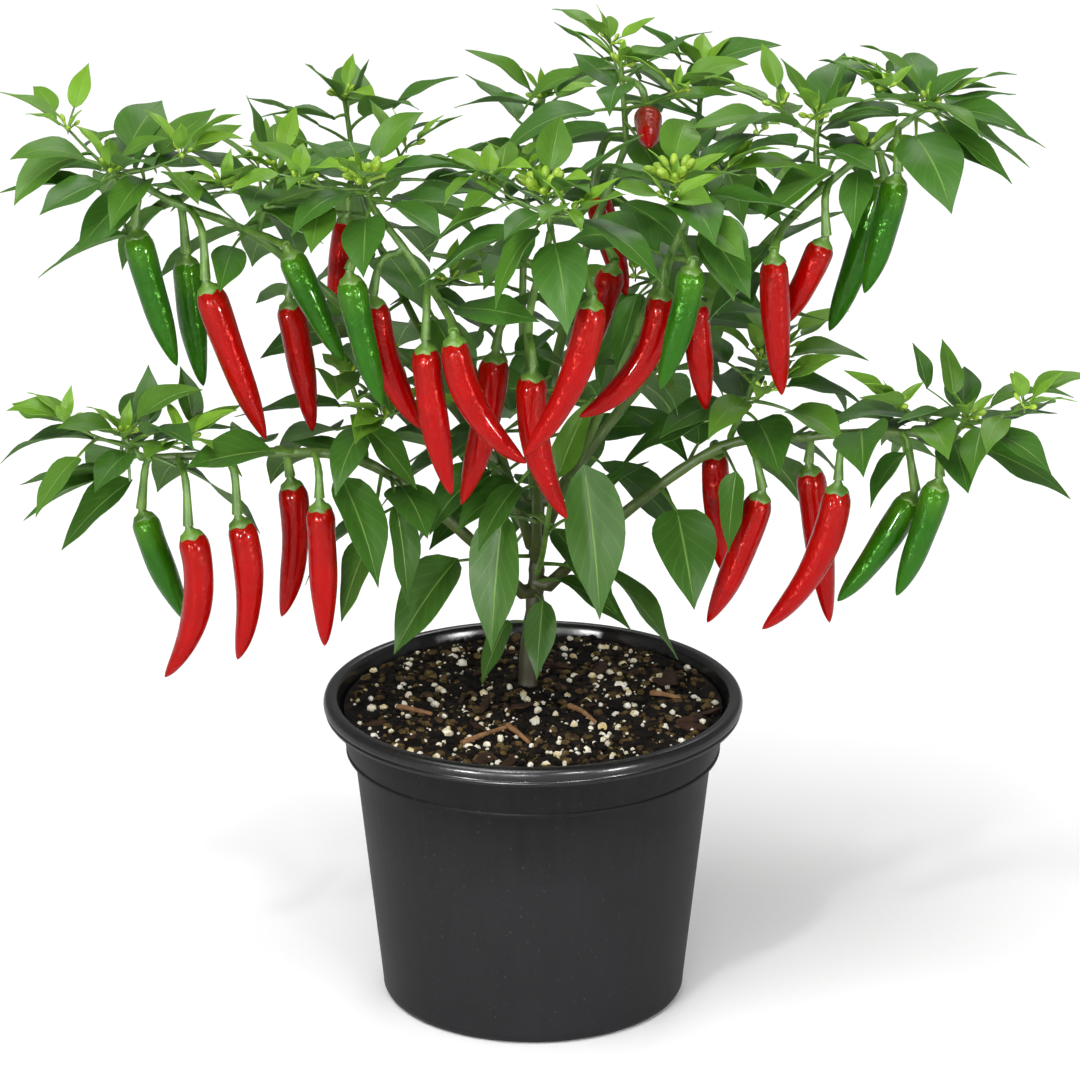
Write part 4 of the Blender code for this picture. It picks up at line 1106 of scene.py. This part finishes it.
class CHILLI_OT_leaves(bpy.types.Operator):
    """Grow every shoot: its twigs, its leaves on their petioles, and its buds"""
    bl_idname = "chilli_plant.leaves"
    bl_label = "Leafy Shoots"

    def leaf_master(self):
        """A flat grid one unit long and wide, with a UV map: X along the leaf and Y across it."""
        deselect()
        bpy.ops.mesh.primitive_grid_add(x_subdivisions=13, y_subdivisions=6, size=1.0, calc_uvs=True)
        return bpy.context.object

    def petiole_master(self):
        """A thin six-sided stalk of unit length and radius."""
        return ring_shell("petiole_master", 6, [(1.0, i / 4) for i in range(5)])

    def bud_master(self):
        """A bud on its short stalk, one unit tall."""
        stalk = ring_shell("bud_stalk", 6, [(0.07, 0.0), (0.055, 0.35), (0.10, 0.72)])
        deselect()
        bpy.ops.mesh.primitive_uv_sphere_add(segments=10, ring_count=7, radius=0.15, location=(0, 0, 0.78))
        bud = bpy.context.object
        bud.scale = (1, 1, 1.7)
        return join([stalk, bud], "bud_master")

    def blade_points(self, leaf, size):
        """Where the flat master's corners go on a bent, folded blade, and where its stalk ends."""
        flat = Vector((math.cos(leaf.turn), math.sin(leaf.turn), 0))
        steps = BLADE_STEPS
        spine, frames = [], []
        point = leaf.foot.copy()
        for i in range(steps + 1):
            angle = leaf.rise - leaf.droop * (i / steps) ** 1.2
            heading = flat * math.cos(angle) + Vector((0, 0, math.sin(angle)))
            side = heading.cross(UP)
            side = side.normalized() if side.length > 0.01 else Vector((-flat.y, flat.x, 0))
            up = side.cross(heading).normalized()
            twist = Matrix.Rotation(leaf.roll * (0.6 + 0.9 * i / steps), 3, heading)
            frames.append((twist @ side, twist @ up))
            spine.append(point.copy())
            point = point + heading * leaf.length / steps
        slender = 0.82 if leaf.age > 0.5 else 1 + 0.15 * math.sin(5 * leaf.turn + 40 * leaf.length)
        half = leaf.length * size.width_ratio * slender / 2
        fold = size.fold * (1 + 0.45 * math.sin(13 * leaf.turn + 2))
        points = []
        for corner in self.corners:
            along = min(max(corner.x + 0.5, 0.0), 1.0)
            across = corner.y * 2
            width = blade_width(along)
            cell = min(int(along * steps), steps - 1)
            middle = spine[cell].lerp(spine[cell + 1], along * steps - cell)
            side, up = frames[cell]
            spread = half * width * across
            lift = abs(spread) * fold * (1.5 - 0.9 * along)
            lift += leaf.length * 0.026 * math.sin(9 * along + 3 * leaf.turn + across) * abs(across) * width
            lift -= leaf.length * 0.012 * across * across * width
            points.append(middle + side * spread + up * lift)
        return points, spine[0].lerp(spine[1], 0.5)

    def petiole(self, name, start, end, grown):
        """The leaf's own stalk, from the stem into the foot of the blade."""
        heading = end - start
        turned = heading.to_track_quat("Z", "Y").to_matrix().to_4x4()
        made = copied(self.stalk, name)
        for vertex in made.data.vertices:
            part = vertex.co.z
            thick = (0.0011 - 0.0004 * part) * grown
            sag = 0.0008 * math.sin(math.pi * part)
            vertex.co = (vertex.co.x * thick, vertex.co.y * thick + sag, part * heading.length)
        made.data.transform(Matrix.Translation(start) @ turned)
        return made

    def stem_plans(self, name, route):
        """Leaves on the two sides of a stem, hanging outwards."""
        count, length, lean, begin, finish = STEM_LEAVES[name]
        points = route[2]
        end = len(points) - 1
        for k in range(count):
            at = end * (begin + (finish - begin) * (k + 0.5) / count)
            ahead = place_on(points, min(at + 0.2, end)) - place_on(points, max(at - 0.2, 0.0))
            upright = ahead.z > 1.2 * ahead.xy.length
            course = GOLDEN_ANGLE * k if upright else math.atan2(ahead.y, ahead.x)
            side = 1 if k % 2 else -1
            turn = course + side * math.radians(62 + 26 * math.sin(2.7 * k + len(name)))
            rise = math.radians(lean + 22 * math.sin(1.9 * k + len(name)))
            blade = length * CM * (1 + 0.18 * math.sin(2.3 * k + 1.1))
            yield leaf_at(place_on(points, at), turn, rise, blade, 0.45 * math.sin(3.3 * k), 0.0)

    def sprigs(self, number, route, length):
        """Short side twigs of a shoot, each with its own small leaves, as (line, leaf plans)."""
        points = route[2]
        end = len(points) - 1
        for k in range(SPRIGS):
            part = 0.45 + 0.28 * k
            start = place_on(points, end * part)
            turn = GOLDEN_ANGLE * k + 1.7 * number
            out = Vector((math.cos(turn), math.sin(turn), 0.30 + 0.20 * math.sin(2 * k + number)))
            reach = out.normalized() * (0.030 + 0.006 * math.sin(k + number))
            line = [start, start + reach * 0.5 + Vector((0, 0, -0.0012)), start + reach]
            plans = []
            for j in range(SPRIG_LEAVES):
                side = 1 if j % 2 else -1
                leaf_turn = turn + side * math.radians(74 - 13 * j) + 0.4 * math.sin(2 * j + number)
                rise = math.radians(-16 + 13 * j + 16 * math.sin(2.1 * j + k + number))
                blade = length * (0.86 - 0.09 * j)
                plans.append(leaf_at(place_on(line, 0.7 + 0.32 * j), leaf_turn, rise, blade,
                                     0.45 * math.sin(2.7 * j + k), 0.10 + 0.11 * j))
            plans += self.young(line[-1], 3, number + k)
            yield line, plans

    def young(self, tip, count, number):
        """The small bright leaves that open at a growing tip."""
        plans = []
        for k in range(count):
            turn = GOLDEN_ANGLE * k + number * 1.3
            rise = math.radians(34 + 16 * k + 12 * math.sin(3.1 * k + number))
            length = YOUNG_BLADE - 0.0042 * k + 0.004 * math.sin(2.2 * number + k)
            plans.append(leaf_at(tip - Vector((0, 0, 0.0012 * k)), turn, rise, length, 0.3, 0.85))
        return plans

    def buds(self, name, tip, number, count, reach):
        """A few small buds on short stalks at a growing tip."""
        made = []
        for k in range(count):
            turn = GOLDEN_ANGLE * k + number
            out = Vector((math.cos(turn), math.sin(turn), 0.8 + 0.6 * math.sin(2 * k)))
            bud = copied(self.bud, f"{name}_bud_{k}")
            bud.data.transform(Matrix.Translation(tip) @ out.to_track_quat("Z", "Y").to_matrix().to_4x4()
                               @ Matrix.Scale(reach * (1 + 0.2 * (k % 3)), 4))
            made.append(bud)
        return made

    def hides_pod(self, points):
        """Whether a blade would hang in front of a pod, seen from the plant's front."""
        ahead = Vector((0, 1, -VIEW_SLOPE)).normalized()
        seen = points[::5]
        struck = sum(any(pod.ray_cast(point + ahead * 0.002, ahead, VEIL_REACH)[0] for pod in self.pods)
                     for point in seen)
        return struck > VEIL_SHARE * len(seen)

    def grow(self, name, plans, size, shy=True):
        """Blades and petioles for the plans. A leaf that would cut a neighbour turns or is left out."""
        blades, petioles = [], []
        for index, plan in enumerate(plans):
            for swing, lift in LEAF_TRIES:
                leaf = plan._replace(turn=plan.turn + swing, rise=plan.rise + lift)
                points, foot = self.blade_points(leaf, size)
                tree = BVHTree.FromPolygons(points, self.cells)
                if any(tree.overlap(other) for other in self.pods + self.solids + self.grown):
                    continue
                if shy and self.hides_pod(points):
                    continue
                self.grown.append(tree)
                blade = copied(self.master, f"{name}_leaf_{index}")
                for vertex, point in zip(blade.data.vertices, points):
                    vertex.co = point
                age = blade.data.attributes.new("age", "FLOAT", "POINT")
                age.data.foreach_set("value", [leaf.age] * len(points))
                blades.append(blade)
                petioles.append(self.petiole(f"{name}_petiole_{index}", leaf.start, foot,
                                             min(leaf.length / FULL_BLADE, 1.0)))
                break
        return blades, petioles

    def finish(self, name, blades, stems, size, *nodes):
        """Give the blades their thickness and hand the piece over."""
        finishes = all_finishes()
        foliage = join(blades, f"{name}_leaves")
        give(foliage, finishes["leaf"], finishes["leaf_under"])
        tidy_mesh(foliage)
        body = foliage.modifiers.new("blade", "SOLIDIFY")
        body.thickness = size.thickness
        body.offset = 0.0
        body.material_offset = 1
        apply_modifiers(foliage)
        smooth(foliage, 70)
        settle(foliage, "leaf", *nodes)
        greens = join(stems, f"{name}_stems")
        smooth(greens, 60)
        settle(greens, "leaf", *nodes)

    def trees(self, *endings):
        """Search trees of the pieces whose names end so."""
        graph = bpy.context.evaluated_depsgraph_get()
        return [BVHTree.FromObject(item, graph) for item in bpy.data.objects if item.name.endswith(endings)]

    def outline_leaves(self, routes, size):
        """The leaves that are placed one by one, as blades and petioles by stem."""
        placed = {name: [] for name in (*SHOOTS, *STEM_LEAVES)}
        for number, (name, part, foot, tip) in enumerate(PLACED_LEAVES):
            points = routes[name][2]
            start = place_on(points, part * (len(points) - 1))
            placed[name].append(leaf_between(start, *metres((foot, tip)), number))
        return {name: self.grow(f"{name}_outline", plans, size, False) for name, plans in placed.items()}

    def shoot_growth(self, name, number, route, source):
        """A shoot's twigs, its buds and its leaf plans."""
        places, radii = sampled(route, 8)
        twigs = [stem_tube(f"{name}_twig", [source] + places, [radii[0] * 1.2] + radii, 10)]
        plans = list(leaf_plans(name, route))
        if name == "shoot_low_front":
            return twigs, [], plans[4:]
        tip = route[2][-1]
        plans += self.young(tip, 4, number)
        buds = self.buds(name, tip, number, *(FRONT_BUDS if "front" in name else TIP_BUDS))
        for line, side_plans in self.sprigs(number, route, SHOOTS[name][5] * CM):
            twigs.append(stem_tube(f"{name}_sprig", [place_on(line, i / 4) for i in range(9)],
                                   [0.0011 - 0.00007 * i for i in range(9)], 8))
            buds += self.buds(name, line[-1], number, *SPRIG_BUDS)
            plans += side_plans
        return twigs, buds, plans

    def execute(self, context):
        size = context.scene.chilli_leaves
        routes, sources = plan_routes()
        self.pods = self.trees("_fruit")
        self.solids = self.trees("_bark", "pot_shell", "compost_bed")
        self.grown = []
        self.master, self.stalk, self.bud = self.leaf_master(), self.petiole_master(), self.bud_master()
        finishes = all_finishes()
        give(self.stalk, finishes["stalk"])
        give(self.bud, finishes["bud"])
        self.corners = [vertex.co.copy() for vertex in self.master.data.vertices]
        self.cells = [tuple(face.vertices) for face in self.master.data.polygons]
        outline = self.outline_leaves(routes, size)
        for number, name in enumerate(SHOOTS):
            twigs, buds, plans = self.shoot_growth(name, number, routes[name], sources[name])
            for twig in twigs:
                give(twig, finishes["stalk"])
            blades, petioles = self.grow(name, plans, size)
            own_blades, own_petioles = outline[name] if name not in STEM_LEAVES else ([], [])
            self.finish(name, blades + own_blades, twigs + buds + petioles + own_petioles, size, name)
        for name in STEM_LEAVES:
            blades, petioles = self.grow(name, self.stem_plans(name, routes[name]), size)
            own_blades, own_petioles = outline[name]
            self.finish(f"{name}_side", blades + own_blades, petioles + own_petioles, size)
        for master in (self.master, self.stalk, self.bud):
            bpy.data.objects.remove(master, do_unlink=True)
        return {"FINISHED"}


class CHILLI_OT_stage(bpy.types.Operator):
    """Set the pale floor, the soft lights and the camera"""
    bl_idname = "chilli_plant.stage"
    bl_label = "Stage"

    def lay_floor(self, size):
        deselect()
        bpy.ops.mesh.primitive_plane_add(size=30, location=(0, 0, 0))
        floor = bpy.context.object
        floor.name = "floor"
        finish = Finish("pale_floor", 0.7)
        mirrored = finish.nodes.new("ShaderNodeLightPath").outputs["Is Glossy Ray"]
        finish.colour(finish.mix(mirrored, (*size.floor, 1.0), (*size.floor_mirrored, 1.0)))
        give(floor, finish.material)

    def sun(self, size):
        deselect()
        bpy.ops.object.light_add(type="SUN", location=(-1.2, -1.6, 2.4))
        lamp = bpy.context.object
        lamp.name = "broad_light"
        lamp.data.energy = size.sun
        lamp.data.angle = size.sun_spread
        lamp.rotation_euler = Vector((0.6, 0.8, -2.1)).to_track_quat("-Z", "Y").to_euler()

    def softbox(self, name, place, target, width, power):
        """A lamp of this width and height that faces the target."""
        deselect()
        bpy.ops.object.light_add(type="AREA", location=place)
        lamp = bpy.context.object
        lamp.name = name
        lamp.data.shape = "RECTANGLE"
        lamp.data.size, lamp.data.size_y = width
        lamp.data.energy = power
        lamp.rotation_euler = (Vector(target) - Vector(place)).to_track_quat("-Z", "Y").to_euler()
        return lamp

    def surroundings(self, scene, size):
        """Even light from all sides: white to the camera and dimmer in reflections."""
        world = scene.world or bpy.data.worlds.new("studio")
        scene.world = world
        world.use_nodes = True
        nodes, links = world.node_tree.nodes, world.node_tree.links
        background = nodes["Background"]
        background.inputs["Color"].default_value = (1, 1, 1, 1)
        ray = nodes.new("ShaderNodeLightPath")
        strength = nodes.new("ShaderNodeMapRange")
        strength.inputs["To Min"].default_value = size.ambient
        strength.inputs["To Max"].default_value = size.ambient_mirrored
        blend = nodes.new("ShaderNodeMixShader")
        backdrop = nodes.new("ShaderNodeBackground")
        backdrop.inputs["Color"].default_value = (1, 1, 1, 1)
        links.new(ray.outputs["Is Glossy Ray"], strength.inputs["Value"])
        links.new(strength.outputs["Result"], background.inputs["Strength"])
        links.new(ray.outputs["Is Camera Ray"], blend.inputs["Fac"])
        links.new(background.outputs["Background"], blend.inputs[1])
        links.new(backdrop.outputs["Background"], blend.inputs[2])
        links.new(blend.outputs["Shader"], nodes["World Output"].inputs["Surface"])

    def camera(self, scene, size):
        deselect()
        bpy.ops.object.camera_add(location=size.camera, rotation=(math.pi / 2 - size.tilt, 0, 0))
        camera = bpy.context.object
        camera.data.sensor_width = 36
        camera.data.lens = size.lens
        scene.camera = camera

    def execute(self, context):
        size = context.scene.chilli_stage
        self.lay_floor(size)
        self.sun(size)
        middle = (0, 0, 0.30)
        for name, (place, width, power) in SPARKS.items():
            self.softbox(name, place, middle, (width, width), power)
            glint = self.softbox(f"{name}_glint", place, middle, (width, width), power * GLINT)
            glint.visible_diffuse = False
        self.softbox("back_light", (0.3, 1.4, 1.7), (0, 0, 0.35), (0.9, 0.5), 8)
        self.surroundings(context.scene, size)
        context.scene.view_settings.view_transform = "Standard"
        self.camera(context.scene, size)
        return {"FINISHED"}


class CHILLI_PT_panel(bpy.types.Panel):
    """Lists the steps that build the plant"""
    bl_idname = "CHILLI_PT_panel"
    bl_label = "Chilli Plant"
    bl_space_type = "VIEW_3D"
    bl_region_type = "UI"
    bl_category = "Chilli Plant"

    def draw(self, context):
        for operator in OPERATORS:
            self.layout.operator(operator.bl_idname)


OPERATORS = (CHILLI_OT_pot, CHILLI_OT_potting_mix, CHILLI_OT_branches, CHILLI_OT_chillies,
             CHILLI_OT_leaves, CHILLI_OT_stage)
SETTINGS = {"chilli_pot": PotSettings, "chilli_mix": MixSettings, "chilli_leaves": LeafSettings,
            "chilli_pods": ChilliSettings, "chilli_stage": StageSettings}


def register():
    for name, group in SETTINGS.items():
        bpy.utils.register_class(group)
        setattr(bpy.types.Scene, name, PointerProperty(type=group))
    for item in (*OPERATORS, CHILLI_PT_panel):
        bpy.utils.register_class(item)


def unregister():
    for item in reversed((*OPERATORS, CHILLI_PT_panel)):
        bpy.utils.unregister_class(item)
    for name, group in SETTINGS.items():
        delattr(bpy.types.Scene, name)
        bpy.utils.unregister_class(group)


def main():
    register()
    bpy.ops.chilli_plant.pot()
    bpy.ops.chilli_plant.potting_mix()
    bpy.ops.chilli_plant.branches()
    bpy.ops.chilli_plant.chillies()
    bpy.ops.chilli_plant.leaves()
    bpy.ops.chilli_plant.stage()


if __name__ == "__main__":
    main()
